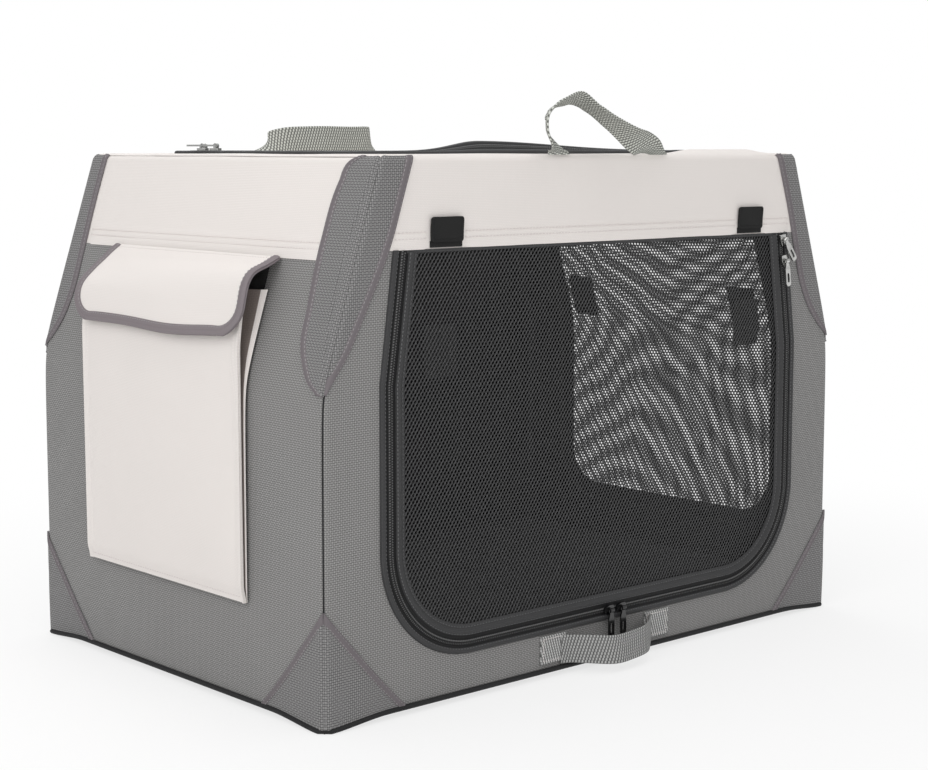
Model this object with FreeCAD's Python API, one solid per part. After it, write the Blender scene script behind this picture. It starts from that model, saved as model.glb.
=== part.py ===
import FreeCAD, Part
import math
import os

os.makedirs("parts", exist_ok=True)
V = FreeCAD.Vector

# Car pet carrier: a sewn cover over a plug-together tube frame, in millimetres.
# The front door looks to -Y, the pocket end to -X, the end door to +X, up is +Z.

# Sewn shell
length = 700.0  # along X at the base
depth = 472.0  # along Y
height = 500.0
bend_height = 298.0  # the end walls lean in above this line
lean_in = 67.0  # how far each end has come in at the top
wall = 2.5  # padded cloth
front_band_drop = 82.0  # depth of the pale band, front and rear
end_band_drop = 91.0  # the same on the two ends
fit = 0.3  # gap between pieces that plug together or move past each other
overrun = 30.0  # how far a cutting body runs past what it cuts

# Tube frame
tube_diameter = 16.0
tube_wall = 1.0
tube_bend_radius = 70.0
sleeve_wall = 2.7  # moulded socket round a tube
socket_floor = 14.0  # from a fitting's middle to the end of each tube
socket_depth = 30.0
hub_radius = 12.5

# Floor
board_thickness = 5.0
board_corner_notch = 32.0  # clears the legs and their sockets
mat_thickness = 24.0
mat_margin = 6.0  # from the board's notched edge
mat_corner_radius = 24.0
mat_draw_in = 9.0  # how far the mat's lower and upper seams draw in
mat_crown_draw = 46.0  # how far in the crown of the mat starts
mat_level_shares = (0, 0.4, 0.8, 1)  # of its thickness: seam, widest line, seam, crown

# Edging sewn on the shell
guard_thickness = 1.5
guard_front_top = 35.0  # leaf widths on the front and rear faces
guard_front_middle = 37.0
guard_front_low = 21.0
guard_front_middle_drop = 80.0  # below the top
guard_front_low_rise = 47.0  # above the bend
guard_end_top = 36.0  # leaf widths on the two ends
guard_end_low = 30.0
guard_end_low_rise = 40.0
guard_edge_radius = 45.0
patch_leg = 92.0  # lower corner patches are right triangles
patch_rise = 102.0
piping_height = 6.0
piping_width = 4.0
piping_round = 1.8
piping_corner_radius = 9.0

# Zips: a tape on the shell with the coil, and a second tape on the door
zip_border = 28.0  # from the outer edge of the shell tape to the mesh
shell_tape = 11.0
coil_width = 5.5
coil_height = 1.6
tape_gap = 0.5
tape_thickness = 1.2
wall_overlap = 8.0  # how far the wall runs under the shell tape
mesh_thickness = 1.5
mesh_overlap = 6.0  # how far the mesh runs under the door tape
net_pitch = 38.0
net_strand = 8.0
seam_gap = 0.6  # between a door's top edge and the band above it

# Front door, measured to the outer edge of its shell tape
front_door_top_half = 270.0
front_door_side_half = 286.0
front_door_side_height = 300.0
front_door_sill = 43.0
front_door_radius = 108.0

# End door, the same way
end_door_half = 184.0
end_door_sill = 64.0
end_door_radius = 72.0

# Top door
top_door_margin = 25.0  # from the roof's side edge
top_door_front = 206.0  # from the middle of the roof forward
top_door_rear = 122.0  # hinge line, from the middle of the roof back
top_door_radius = 46.0

# Hook-and-loop straps and patches that hold a rolled-up door
strap_width = 38.0
strap_length = 25.0
strap_thickness = 2.5
strap_rise = 4.0  # above the band seam
front_strap_spacing = 209.0  # from the middle to each strap
end_strap_spacing = 118.0
loop_patch_height = 48.0
loop_patch_thickness = 1.5
loop_patch_drop = 93.0  # from the band seam to the patch middle
front_patch_spacing = 212.0
end_patch_spacing = 122.0

# Pocket and its flap on the left end
pocket_half = 133.0
pocket_shift = 7.0  # towards the rear
pocket_bottom = 98.0
pocket_mouth_drop = 29.0  # below the end seam
pocket_swell = 7.0  # how far the pocket stands off the lower wall
pocket_swell_rise = 14.0
pocket_cloth = 1.8
flap_half = 137.0
flap_drop = 69.0  # of its lower edge, below the end seam
flap_reach = 14.0  # of the flap's lower edge, past the lower wall
flap_shoulder_drop = 18.0
flap_shoulder_reach = 11.0
flap_shoulder_radius = 16.0
flap_corner_radius = 24.0
flap_cloth = 2.0
flap_binding_width = 9.0
flap_binding_thickness = 3.0

# Webbing handles
webbing = 28.0
webbing_thickness = 2.5
top_handle_spacing = 68.0  # from the middle to each sewn end
top_handle_rise = 58.0
rear_handle_tilt = 66.0  # degrees that the rear handle has flopped forward
top_handle_sections = 12
base_handle_half = 63.0
base_handle_bulge = 32.0
base_handle_shoulder = 40.0
base_handle_radius = 24.0
base_handle_height = 11.0  # lower edge above the ground
base_tab_width = 24.0
base_tab_height = 30.0
base_tab_thickness = 2.0

# Zip sliders and their pulls
slider_width = 9.0
slider_length = 12.0
slider_nose = 5.0
slider_plate = 2.2
slider_round = 1.2
bar_radius = 1.0
post_width = 1.4
post_depth = 2.4
knuckle_width = 4.6
knuckle_radius = 2.3
pull_length = 27.0
pull_width = 7.5
pull_neck = 6.0  # from the bar to where the pull reaches its full width
pull_thickness = 1.7
pull_slot_width = 3.0
pull_slot_length = 10.0
pull_slot_end = 4.0
upper_slider_drop = 9.0  # below the band seam
slider_spacing = 22.0
upper_pull_turn = 30.0  # degrees that the upper pull leans out
sill_slider_middle = 9.0
sill_slider_spacing = 17.0
roof_slider_inset = 36.0  # from the hinge line of the top door
end_slider_drop = 12.0
rounding_share = 0.9  # of a half width, where an end is nearly a half circle

# Derived places
half_length = length / 2
half_depth = depth / 2
front_band_edge = height - front_band_drop
end_band_edge = height - end_band_drop
guard_front_middle_height = height - guard_front_middle_drop
guard_front_low_height = bend_height + guard_front_low_rise
guard_end_low_height = bend_height + guard_end_low_rise
top_door_half = half_length - lean_in - top_door_margin
pocket_top = end_band_edge - pocket_mouth_drop
flap_bottom = end_band_edge - flap_drop
flap_shoulder_height = end_band_edge - flap_shoulder_drop
lean_angle = math.atan2(lean_in, height - bend_height)
bend_share = math.tan(lean_angle / 2)
top_share = (1 - math.sin(lean_angle)) / math.cos(lean_angle)
tube_radius = tube_diameter / 2
sleeve_radius = tube_radius + fit / 2 + sleeve_wall
frame_inset = wall + fit + sleeve_radius
rail_height = wall + fit + sleeve_radius
board_bottom = rail_height + sleeve_radius + fit
coil_start = shell_tape - coil_width / 2
coil_middle = shell_tape
door_tape_start = coil_start + coil_width + tape_gap
mesh_start = zip_border - mesh_overlap
hinge_out = tape_thickness  # the doors turn about the outer face of their tape
coil_top = tape_thickness + coil_height

nodes = {}


def on_front(y):
    return lambda x, z: V(x, y, z)


def on_end(x):
    return lambda y, z: V(x, y, z)


def on_floor(z):
    return lambda x, y: V(x, y, z)


def outline(corners, radii, place):
    """Closed wire through flat corners, each rounded by its own radius."""
    edges = []
    ends = []
    count = len(corners)
    for index in range(count):
        here = V(*corners[index], 0)
        back = (V(*corners[index - 1], 0) - here).normalize()
        onward = (V(*corners[(index + 1) % count], 0) - here).normalize()
        radius = radii[index]
        if radius == 0:
            ends.append((here, None, here))
            continue
        half_turn = back.getAngle(onward) / 2
        run = radius / math.tan(half_turn)
        middle_way = (back + onward).normalize()
        middle = here + middle_way * (radius / math.sin(half_turn) - radius)
        ends.append((here + back * run, middle, here + onward * run))
    for index in range(count):
        start, middle, finish = ends[index]
        if middle is not None:
            arc = [place(point.x, point.y) for point in (start, middle, finish)]
            edges.append(Part.Arc(*arc).toShape())
        leg = [place(point.x, point.y) for point in (finish, ends[(index + 1) % count][0])]
        edges.append(Part.LineSegment(*leg).toShape())
    return Part.Wire(edges)


def sharp(corners):
    return [0] * len(corners)


def along_y(corners, start, finish, radii=None):
    wire = outline(corners, radii or sharp(corners), on_front(start))
    return Part.Face(wire).extrude(V(0, finish - start, 0))


def along_x(corners, start, finish, radii=None):
    wire = outline(corners, radii or sharp(corners), on_end(start))
    return Part.Face(wire).extrude(V(finish - start, 0, 0))


def along_z(corners, start, finish, radii=None):
    wire = outline(corners, radii or sharp(corners), on_floor(start))
    return Part.Face(wire).extrude(V(0, 0, finish - start))


def rectangle(half_width, low, high):
    return [(-half_width, low), (half_width, low), (half_width, high), (-half_width, high)]


def strip(corners, radii, thickness):
    """Outline of a bent strip: a path, and the same path moved to its left."""
    moved_corners, moved_radii = beside(corners, radii, thickness)
    return corners + moved_corners[::-1], radii + moved_radii[::-1]


def beside(corners, radii, distance):
    """A bent path moved to its left, with the radii of its rounded corners."""
    normals = []
    for (u0, v0), (u1, v1) in zip(corners, corners[1:]):
        run = math.hypot(u1 - u0, v1 - v0)
        normals.append(((v0 - v1) / run, (u1 - u0) / run))
    moved_corners = []
    moved_radii = []
    for index, (u, v) in enumerate(corners):
        before = normals[max(index - 1, 0)]
        after = normals[min(index, len(normals) - 1)]
        spread = 1 + before[0] * after[0] + before[1] * after[1]
        moved_corners.append((u + distance * (before[0] + after[0]) / spread,
                              v + distance * (before[1] + after[1]) / spread))
        turn = before[0] * after[1] - before[1] * after[0]
        moved_radii.append(radii[index] - distance * math.copysign(1, turn) if radii[index] else 0)
    return moved_corners, moved_radii


def bend_z(offset):
    return bend_height + offset * bend_share


def edge_x(offset, z):
    """Distance from the middle to an end wall's surface, moved out by an offset."""
    rise = max(z - bend_z(offset), 0)
    return half_length + offset - rise * math.tan(lean_angle)


def roof_corner(offset):
    return half_length - lean_in + offset * top_share, height + offset


def profile(offset):
    """Front outline of the shell, moved out or in by an offset, and never below the ground."""
    x, z = roof_corner(offset)
    side = [(half_length + offset, max(-offset, 0)), (half_length + offset, bend_z(offset)), (x, z)]
    return side + [(-u, v) for u, v in side[::-1]]


def end_strip(side, inner, outer, low, high):
    """Section of an end wall between two offsets and two heights."""
    outside = [(edge_x(outer, low), low), (half_length + outer, bend_z(outer)),
               (edge_x(outer, high), high)]
    inside = [(edge_x(inner, high), high), (half_length + inner, bend_z(inner)),
              (edge_x(inner, low), low)]
    return [(side * u, v) for u, v in outside + inside]


def stand(origin, out, up):
    """Placement whose local Z points out of a face and local Y runs up along it."""
    across = up.cross(out)
    matrix = FreeCAD.Matrix(across.x, up.x, out.x, origin.x,
                            across.y, up.y, out.y, origin.y,
                            across.z, up.z, out.z, origin.z,
                            0, 0, 0, 1)
    return FreeCAD.Placement(matrix)


def moved(shape, placement):
    copy = shape.copy()
    copy.Placement = placement.multiply(copy.Placement)
    return copy


def pipe(path_edges, radius):
    path = Part.Wire(path_edges)
    start = path.Edges[0]
    point = start.valueAt(start.FirstParameter)
    way = start.tangentAt(start.FirstParameter)
    ring = Part.Wire(Part.Circle(point, way, radius).toShape())
    return path.makePipeShell([ring], True, False)


def hollow_tube(path_edges):
    return pipe(path_edges, tube_radius).cut(pipe(path_edges, tube_radius - tube_wall))


# Tube frame: four rails below, four above and four bent legs in moulded corner fittings
frame_half = half_length - frame_inset
frame_side = half_depth - frame_inset
roof_rail_half, roof_rail_height = roof_corner(-frame_inset)
knee_height = bend_z(-frame_inset)
lean_way = V(roof_rail_half - frame_half, 0, roof_rail_height - knee_height).normalize()


def rail_pair(half_run, side, z, way):
    rails = []
    for sign in (-1, 1):
        reach = half_run - socket_floor
        ends = [way * -reach + V(way.y, way.x, 0) * (sign * side) + V(0, 0, z),
                way * reach + V(way.y, way.x, 0) * (sign * side) + V(0, 0, z)]
        rails.append(hollow_tube([Part.LineSegment(*ends).toShape()]))
    return Part.makeCompound(rails)


def leg(x_sign, y_sign):
    """Bent tube: upright to the knee, then leaning in to the roof fitting."""
    run = tube_bend_radius * math.tan(lean_angle / 2)
    foot = V(frame_half, 0, rail_height + socket_floor)
    knee = V(frame_half, 0, knee_height)
    head = V(roof_rail_half, 0, roof_rail_height) - lean_way * socket_floor
    low = knee - V(0, 0, run)
    high = knee + lean_way * run
    inward = (lean_way - V(0, 0, 1)).normalize()
    sag = tube_bend_radius / math.cos(lean_angle / 2) - tube_bend_radius
    points = [foot, low, knee + inward * sag, high, head]
    points = [V(x_sign * p.x, y_sign * frame_side, p.z) for p in points]
    path = [Part.LineSegment(points[0], points[1]).toShape(),
            Part.Arc(*points[1:4]).toShape(),
            Part.LineSegment(points[3], points[4]).toShape()]
    return hollow_tube(path)


def fitting(middle, ways):
    """Corner fitting: a round hub with one bored sleeve for each tube."""
    body = Part.makeSphere(hub_radius, middle)
    reach = socket_floor + socket_depth
    for way in ways:
        body = body.fuse(Part.makeCylinder(sleeve_radius, reach, middle, way))
    for way in ways:
        bore_start = middle + way * (socket_floor - fit)
        body = body.cut(Part.makeCylinder(tube_radius + fit / 2, reach, bore_start, way))
    clear = along_y(profile(-wall - fit), -half_depth + wall + fit, half_depth - wall - fit)
    return body.common(clear).removeSplitter()


corners_signs = [(x, y) for x in (-1, 1) for y in (-1, 1)]
nodes["base_rails_long"] = rail_pair(frame_half, frame_side, rail_height, V(1, 0, 0))
nodes["base_rails_short"] = rail_pair(frame_side, frame_half, rail_height, V(0, 1, 0))
nodes["top_rails_long"] = rail_pair(roof_rail_half, frame_side, roof_rail_height, V(1, 0, 0))
nodes["top_rails_short"] = rail_pair(frame_side, roof_rail_half, roof_rail_height, V(0, 1, 0))
nodes["front_legs"] = Part.makeCompound([leg(x, -1) for x in (-1, 1)])
nodes["rear_legs"] = Part.makeCompound([leg(x, 1) for x in (-1, 1)])
base_fittings = []
top_fittings = []
for x, y in corners_signs:
    base_ways = [V(-x, 0, 0), V(0, -y, 0), V(0, 0, 1)]
    base_fittings.append(fitting(V(x * frame_half, y * frame_side, rail_height), base_ways))
    top_ways = [V(-x, 0, 0), V(0, -y, 0), V(-x * lean_way.x, 0, -lean_way.z)]
    top_fittings.append(fitting(V(x * roof_rail_half, y * frame_side, roof_rail_height), top_ways))
nodes["base_corner_fittings"] = Part.makeCompound(base_fittings)
nodes["top_corner_fittings"] = Part.makeCompound(top_fittings)

# Floor: a board on the rails, notched round the legs, and a quilted mat with a low crown
board_half = half_length - wall - fit
board_side = half_depth - wall - fit
notch_x = board_half - board_corner_notch
notch_y = board_side - board_corner_notch
board_quarter = [(board_half, notch_y), (notch_x, notch_y), (notch_x, board_side)]
board_corners = board_quarter + [(-u, v) for u, v in board_quarter[::-1]]
board_corners += [(-u, -v) for u, v in board_corners]
nodes["floor_board"] = along_z(board_corners, board_bottom, board_bottom + board_thickness)
mat_bottom = board_bottom + board_thickness + fit
mat_half = notch_x - mat_margin
mat_side = notch_y - mat_margin
mat_sections = []
mat_draws = (mat_draw_in, 0, mat_draw_in, mat_crown_draw)
for draw, height_share in zip(mat_draws, mat_level_shares):
    ring = rectangle(mat_half - draw, -mat_side + draw, mat_side - draw)
    level = mat_bottom + mat_thickness * height_share
    mat_sections.append(outline(ring, [mat_corner_radius] * len(ring), on_floor(level)))
nodes["floor_mat"] = Part.makeLoft(mat_sections, True, True)
nodes["base_cloth"] = along_z(rectangle(half_length - wall, -half_depth + wall, half_depth - wall), 0, wall)


def door_corners(half_top, half_side, side_height, sill, radius, top, inset):
    """U-shaped door outline, drawn in by an inset, and its corner radii."""
    side = [(half_top - inset, top), (half_side - inset, side_height), (half_side - inset, sill + inset)]
    corners = side + [(-u, v) for u, v in side[::-1]]
    turn = radius - inset
    return corners, [0, 0, turn, turn, 0, 0]


def front_door_outline(inset, top):
    return door_corners(front_door_top_half, front_door_side_half, front_door_side_height,
                        front_door_sill, front_door_radius, top, inset)


def end_door_outline(inset, top):
    return door_corners(end_door_half, end_door_half, bend_height, end_door_sill,
                        end_door_radius, top, inset)


def top_door_outline(inset, rear):
    side_y = (rear - top_door_front) / 2
    return door_corners(top_door_half, top_door_half, side_y, -top_door_front,
                        top_door_radius, rear, inset)


def cut_front(inset, top):
    corners, radii = front_door_outline(inset, top)
    return along_y(corners, -half_depth - overrun, -half_depth + overrun, radii)


def cut_end(inset, top):
    corners, radii = end_door_outline(inset, top)
    return along_x(corners, half_length - lean_in - overrun, half_length + overrun, radii)


def cut_top(inset, rear):
    corners, radii = top_door_outline(inset, rear)
    return along_z(corners, height - overrun, height + overrun, radii)


# Cover: four grey walls below the seams, four pale bands above them, and the roof border
def face_plate(corners, side, inner, outer):
    low, high = sorted((side * (half_depth + inner), side * (half_depth + outer)))
    return along_y(corners, low, high)


lower_face = [(half_length, 0), (half_length, bend_height),
              (edge_x(0, front_band_edge), front_band_edge)]
lower_face += [(-u, v) for u, v in lower_face[::-1]]
band_face = [(edge_x(0, front_band_edge), front_band_edge), roof_corner(0)]
band_face += [(-u, v) for u, v in band_face[::-1]]
doorway_top = front_band_edge + overrun
nodes["front_wall"] = face_plate(lower_face, -1, -wall, 0).cut(cut_front(wall_overlap, doorway_top))
nodes["rear_wall"] = face_plate(lower_face, 1, -wall, 0)
nodes["front_band"] = face_plate(band_face, -1, -wall, 0)
nodes["rear_band"] = face_plate(band_face, 1, -wall, 0)

inner_side = half_depth - wall
for name, side in (("left", -1), ("right", 1)):
    panel = along_y(end_strip(side, -wall, 0, 0, end_band_edge), -inner_side, inner_side)
    band = [(edge_x(0, end_band_edge), end_band_edge), roof_corner(0),
            roof_corner(-wall), (edge_x(-wall, end_band_edge), end_band_edge)]
    nodes[name + "_wall"] = panel
    nodes[name + "_band"] = along_y([(side * u, v) for u, v in band], -inner_side, inner_side)
end_doorway_top = end_band_edge + overrun
nodes["right_wall"] = nodes["right_wall"].cut(cut_end(wall_overlap, end_doorway_top))
roof_section = [roof_corner(0), roof_corner(-wall)]
roof_section += [(-u, v) for u, v in roof_section[::-1]]
roof = along_y(roof_section, -inner_side, inner_side)
nodes["roof_panel"] = roof.cut(cut_top(wall_overlap, top_door_rear))

# Leaf guards over the upper corners and triangular patches over the lower ones
skin = along_y(profile(guard_thickness), -half_depth - guard_thickness, half_depth + guard_thickness)
skin = skin.cut(along_y(profile(0), -half_depth, half_depth))
skin = skin.cut(along_z(rectangle(length, -depth, depth), height, height + overrun))
guards = []
patches = []
for x, y in corners_signs:
    outer = half_length + overrun
    leaf = [(outer, bend_height), (outer, height),
            (roof_corner(0)[0] - guard_front_top, height),
            (edge_x(0, guard_front_middle_height) - guard_front_middle, guard_front_middle_height),
            (edge_x(0, guard_front_low_height) - guard_front_low, guard_front_low_height),
            (half_length, bend_height)]
    leaf_radii = [0, 0, 0, guard_edge_radius, guard_edge_radius, 0]
    low_y, high_y = sorted((y * half_depth, y * (half_depth + overrun)))
    front_leaf = along_y([(x * u, v) for u, v in leaf], low_y, high_y, leaf_radii)
    leaf = [(half_depth, height), (half_depth - guard_end_top, height),
            (half_depth - guard_end_low, guard_end_low_height), (half_depth, bend_height)]
    leaf_radii = [0, 0, guard_edge_radius, 0]
    low_x, high_x = sorted((x * (half_length - lean_in - overrun), x * (half_length + overrun)))
    end_leaf = along_x([(y * u, v) for u, v in leaf], low_x, high_x, leaf_radii)
    guards.append(skin.common(front_leaf).fuse(skin.common(end_leaf)).removeSplitter())
    foot = piping_height + fit
    corner = [(half_length + overrun, foot), (half_length + overrun, foot + patch_rise),
              (half_length, foot + patch_rise), (half_length - patch_leg, foot)]
    front_patch = along_y([(x * u, v) for u, v in corner], low_y, high_y)
    corner = [(half_depth, foot), (half_depth, foot + patch_rise), (half_depth - patch_leg, foot)]
    end_patch = along_x([(y * u, v) for u, v in corner], low_x, high_x)
    patches.append(skin.common(front_patch).fuse(skin.common(end_patch)).removeSplitter())
nodes["corner_guards"] = Part.makeCompound(guards)
nodes["base_corner_patches"] = Part.makeCompound(patches)
piping_ring = rectangle(half_length + piping_width, -half_depth - piping_width, half_depth + piping_width)
piping = along_z(piping_ring, 0, piping_height, [piping_corner_radius] * len(piping_ring))
rim = [edge for edge in piping.Edges if edge.BoundBox.ZMin > piping_height / 2]
piping = piping.makeFillet(piping_round, rim)
nodes["base_piping"] = piping.cut(along_z(rectangle(half_length, -half_depth, half_depth), 0, piping_height))


def zip_set(layer, cut, top, door_top):
    """Shell tape with its coil, and the door tape, cut from layers on one face of the shell."""
    tape = layer(0, tape_thickness).common(cut(0, top).cut(cut(shell_tape, top + overrun)))
    coil = layer(0, coil_top).common(cut(coil_start, top).cut(cut(coil_start + coil_width, top + overrun)))
    shell = tape.fuse(coil).removeSplitter()
    ring = cut(door_tape_start, door_top).cut(cut(zip_border, door_top - zip_border + door_tape_start))
    return shell, layer(0, tape_thickness).common(ring)


def net_holes(face, half_width, low, high, place):
    """Staggered six-sided gaps wherever a whole one lies inside the face."""
    holes = []
    radius = (net_pitch - net_strand) / 2
    row_step = net_pitch * math.cos(math.radians(30))
    rows = int((high - low) / row_step)
    columns = int(2 * half_width / net_pitch) + 1
    for row in range(rows):
        v = low + row_step * (row + 1 / 2)
        for column in range(columns):
            u = net_pitch * (column - columns / 2 + (row % 2) / 2)
            ring = []
            for step in range(6):
                turn = math.radians(60 * step + 30)
                ring.append(place(u + radius * math.cos(turn), v + radius * math.sin(turn)))
            inside = all(face.isInside(point, fit, False) for point in ring)
            if inside:
                holes.append(Part.makePolygon(ring + ring[:1]))
    return holes


def net(corners, radii, place, way, margin_outline):
    """Flat net: one face with its gaps, given a thickness."""
    margin, margin_radii = margin_outline
    inner = Part.Face(outline(margin, margin_radii, place))
    spans_u = [u for u, v in margin]
    spans_v = [v for u, v in margin]
    gaps = net_holes(inner, max(spans_u), min(spans_v), max(spans_v), place)
    face = Part.makeFace([outline(corners, radii, place)] + gaps, "Part::FaceMakerBullseye")
    return face.extrude(way), len(gaps)


# Front door
def front_layer(inner, outer):
    return along_y(rectangle(half_length, 0, height), -half_depth - outer, -half_depth - inner)


front_door_top = front_band_edge - seam_gap
shell, tape = zip_set(front_layer, cut_front, front_band_edge, front_door_top)
nodes["front_zip_tape"] = shell
nodes["front_door_tape"] = tape
net_edge = zip_border + net_strand
mesh, front_gaps = net(*front_door_outline(mesh_start, front_door_top), on_front(-half_depth),
                       V(0, mesh_thickness, 0),
                       front_door_outline(net_edge, front_door_top - net_edge + door_tape_start))
nodes["front_door_mesh"] = mesh


# End door, which follows the bend of the right wall: its net is two flat spans that meet there
def end_layer(inner, outer):
    section = end_strip(1, inner, outer, 0, end_band_edge + overrun)
    return along_y(section, -half_depth, half_depth)


end_door_top = end_band_edge - seam_gap
shell, tape = zip_set(end_layer, cut_end, end_band_edge, end_door_top)
nodes["right_zip_tape"] = shell
nodes["right_door_tape"] = tape
mesh, end_gaps = net(*end_door_outline(mesh_start, end_door_top),
                     on_end(half_length - lean_in - overrun), V(lean_in + overrun * 2, 0, 0),
                     end_door_outline(net_edge, end_door_top - net_edge + door_tape_start))
mesh = mesh.common(end_layer(-mesh_thickness, 0))
below_bend = along_z(rectangle(length, -depth, depth), 0, bend_height)
nodes["right_door_mesh_lower"] = mesh.common(below_bend)
nodes["right_door_mesh_upper"] = mesh.cut(below_bend)


# Top door
def top_layer(inner, outer):
    return along_z(rectangle(half_length, -half_depth, half_depth), height + inner, height + outer)


top_door_edge = top_door_rear - seam_gap
shell, tape = zip_set(top_layer, cut_top, top_door_rear, top_door_edge)
nodes["top_zip_tape"] = shell
nodes["top_door_tape"] = tape
mesh, top_gaps = net(*top_door_outline(mesh_start, top_door_edge), on_floor(height - mesh_thickness),
                     V(0, 0, mesh_thickness),
                     top_door_outline(net_edge, top_door_edge - net_edge + door_tape_start))
nodes["top_door_mesh"] = mesh
print("net gaps", front_gaps + end_gaps + top_gaps)


# Straps that hold a rolled-up door, and the patches that they close on
def strap_tab():
    """Short strap, flat on the band, with a round sewn end as its hinge."""
    radius = strap_thickness / 2
    body = along_z(rectangle(strap_width / 2, 0, strap_length), -radius, radius)
    hem = Part.makeCylinder(radius, strap_width, V(-strap_width / 2, 0, 0), V(1, 0, 0))
    return body.fuse(hem).removeSplitter()


def loop_patch():
    half = loop_patch_height / 2
    return along_z(rectangle(strap_width / 2, -half, half), 0, loop_patch_thickness)


front_out = V(0, -1, 0)
upright = V(0, 0, 1)
end_out = V(math.cos(lean_angle), 0, math.sin(lean_angle))
end_up = V(-math.sin(lean_angle), 0, math.cos(lean_angle))
strap_stand = fit + strap_thickness / 2
strap_axis_rise = strap_rise + strap_thickness / 2
end_seam = V(edge_x(0, end_band_edge), 0, end_band_edge)
front_seam = V(0, -half_depth, front_band_edge)
for name, side in (("left", -1), ("right", 1)):
    hem = front_seam + front_out * strap_stand + upright * strap_axis_rise
    place = stand(hem + V(side * front_strap_spacing, 0, 0), front_out, upright)
    nodes["front_strap_" + name] = moved(strap_tab(), place)
for name, side in (("front", -1), ("rear", 1)):
    hem = end_seam + end_out * strap_stand + end_up * strap_axis_rise
    place = stand(hem + V(0, side * end_strap_spacing, 0), end_out, end_up)
    nodes["end_strap_" + name] = moved(strap_tab(), place)
patch_back = mesh_thickness + loop_patch_thickness
front_patches = []
end_patches = []
for side in (-1, 1):
    place = front_seam + V(side * front_patch_spacing, patch_back, -loop_patch_drop)
    front_patches.append(moved(loop_patch(), stand(place, front_out, upright)))
    along = loop_patch_height / 2 + seam_gap * 2 + zip_border
    place = end_seam - end_up * along - end_out * patch_back + V(0, side * end_patch_spacing, 0)
    end_patches.append(moved(loop_patch(), stand(place, end_out, end_up)))
nodes["front_door_patches"] = Part.makeCompound(front_patches)
nodes["right_door_patches"] = Part.makeCompound(end_patches)

# Pocket on the left end: it hangs plumb while the wall behind it leans in
pocket_face = half_length + pocket_swell
pocket_section = [(half_length, pocket_bottom), (pocket_face, pocket_bottom + pocket_swell_rise),
                  (pocket_face, pocket_top), (edge_x(0, pocket_top), pocket_top),
                  (half_length, bend_height)]
pocket_room = [(half_length - lean_in, pocket_bottom + pocket_cloth),
               (half_length, pocket_bottom + pocket_cloth),
               (pocket_face - pocket_cloth, pocket_bottom + pocket_swell_rise + pocket_cloth),
               (pocket_face - pocket_cloth, pocket_top + overrun),
               (half_length - lean_in, pocket_top + overrun)]
pocket_front = pocket_shift - pocket_half
pocket_rear = pocket_shift + pocket_half
pocket = along_y([(-u, v) for u, v in pocket_section], pocket_front, pocket_rear)
room = along_y([(-u, v) for u, v in pocket_room], pocket_front + pocket_cloth, pocket_rear - pocket_cloth)
nodes["pocket"] = pocket.cut(room)

# Flap: turns on the hem of its seam, clears the pocket's mouth and hangs down in front of it
flap_seam = end_band_edge + strap_rise
hem_radius = flap_binding_thickness / 2
hem_stand = fit + hem_radius
flap_top = flap_seam + hem_stand * math.sin(lean_angle)
flap_start = edge_x(0, flap_seam) + hem_stand * math.cos(lean_angle)
flap_path = [(-flap_start, flap_top),
             (-pocket_face - flap_shoulder_reach, flap_shoulder_height),
             (-half_length - flap_reach - pocket_swell, flap_bottom)]
flap_radii = [0, flap_shoulder_radius, 0]
flap_edge = rectangle(flap_half, flap_bottom, flap_top + overrun)
flap_field = rectangle(flap_half - flap_binding_width, flap_bottom + flap_binding_width, flap_top + overrun)


def flap_sheet(thickness):
    path, path_radii = beside(flap_path, flap_radii, -thickness / 2)
    corners, radii = strip(path, path_radii, thickness)
    return along_y(corners, -flap_half + pocket_shift, flap_half + pocket_shift, radii)


def flap_cut(corners, radius):
    radii = [radius, radius, 0, 0]
    shape = along_x(corners, -length, 0, radii)
    shape.translate(V(0, pocket_shift, 0))
    return shape


field = flap_cut(flap_field, flap_corner_radius - flap_binding_width)
hem_end = V(-flap_start, pocket_shift - flap_half, flap_top)
flap_hem = Part.makeCylinder(hem_radius, 2 * flap_half, hem_end, V(0, 1, 0))
nodes["pocket_flap"] = flap_sheet(flap_cloth).common(field).cut(flap_hem)
bound = flap_sheet(flap_binding_thickness).common(flap_cut(flap_edge, flap_corner_radius))
nodes["flap_binding"] = bound.cut(field).fuse(flap_hem).removeSplitter()


# Webbing handles: each limb turns a quarter between its sewn end and the top of the loop
def carry_handle():
    sections = []
    half_web = webbing / 2
    half_thick = webbing_thickness / 2
    for step in range(top_handle_sections + 1):
        turn = math.pi * step / top_handle_sections
        point = V(-top_handle_spacing * math.cos(turn), 0, top_handle_rise * math.sin(turn))
        way = V(top_handle_spacing * math.sin(turn), 0, top_handle_rise * math.cos(turn)).normalize()
        quarter = math.sin(turn) * math.pi / 2
        flat = V(way.z, 0, -way.x)
        across = flat * math.cos(quarter) + V(0, 1, 0) * math.sin(quarter)
        normal = way.cross(across)
        ring = [point + across * (a * half_web) + normal * (b * half_thick)
                for a, b in ((-1, -1), (1, -1), (1, 1), (-1, 1))]
        sections.append(Part.makePolygon(ring + ring[:1]))
    loop = Part.makeLoft(sections, True, True)
    for side in (-1, 1):
        end = V(side * top_handle_spacing - half_web, 0, 0)
        loop = loop.fuse(Part.makeCylinder(half_thick, webbing, end, V(1, 0, 0)))
    return loop


handle_axis_height = height + fit + webbing_thickness / 2
handle_axis_y = half_depth  # over the front edge, so that the loop can drop past it
front_handle = carry_handle()
front_handle.translate(V(0, -handle_axis_y, handle_axis_height))
nodes["front_handle"] = front_handle
rear_handle = carry_handle()
rear_handle.rotate(V(0, 0, 0), V(1, 0, 0), rear_handle_tilt)
rear_handle.translate(V(0, handle_axis_y, handle_axis_height))
nodes["rear_handle"] = rear_handle

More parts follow.
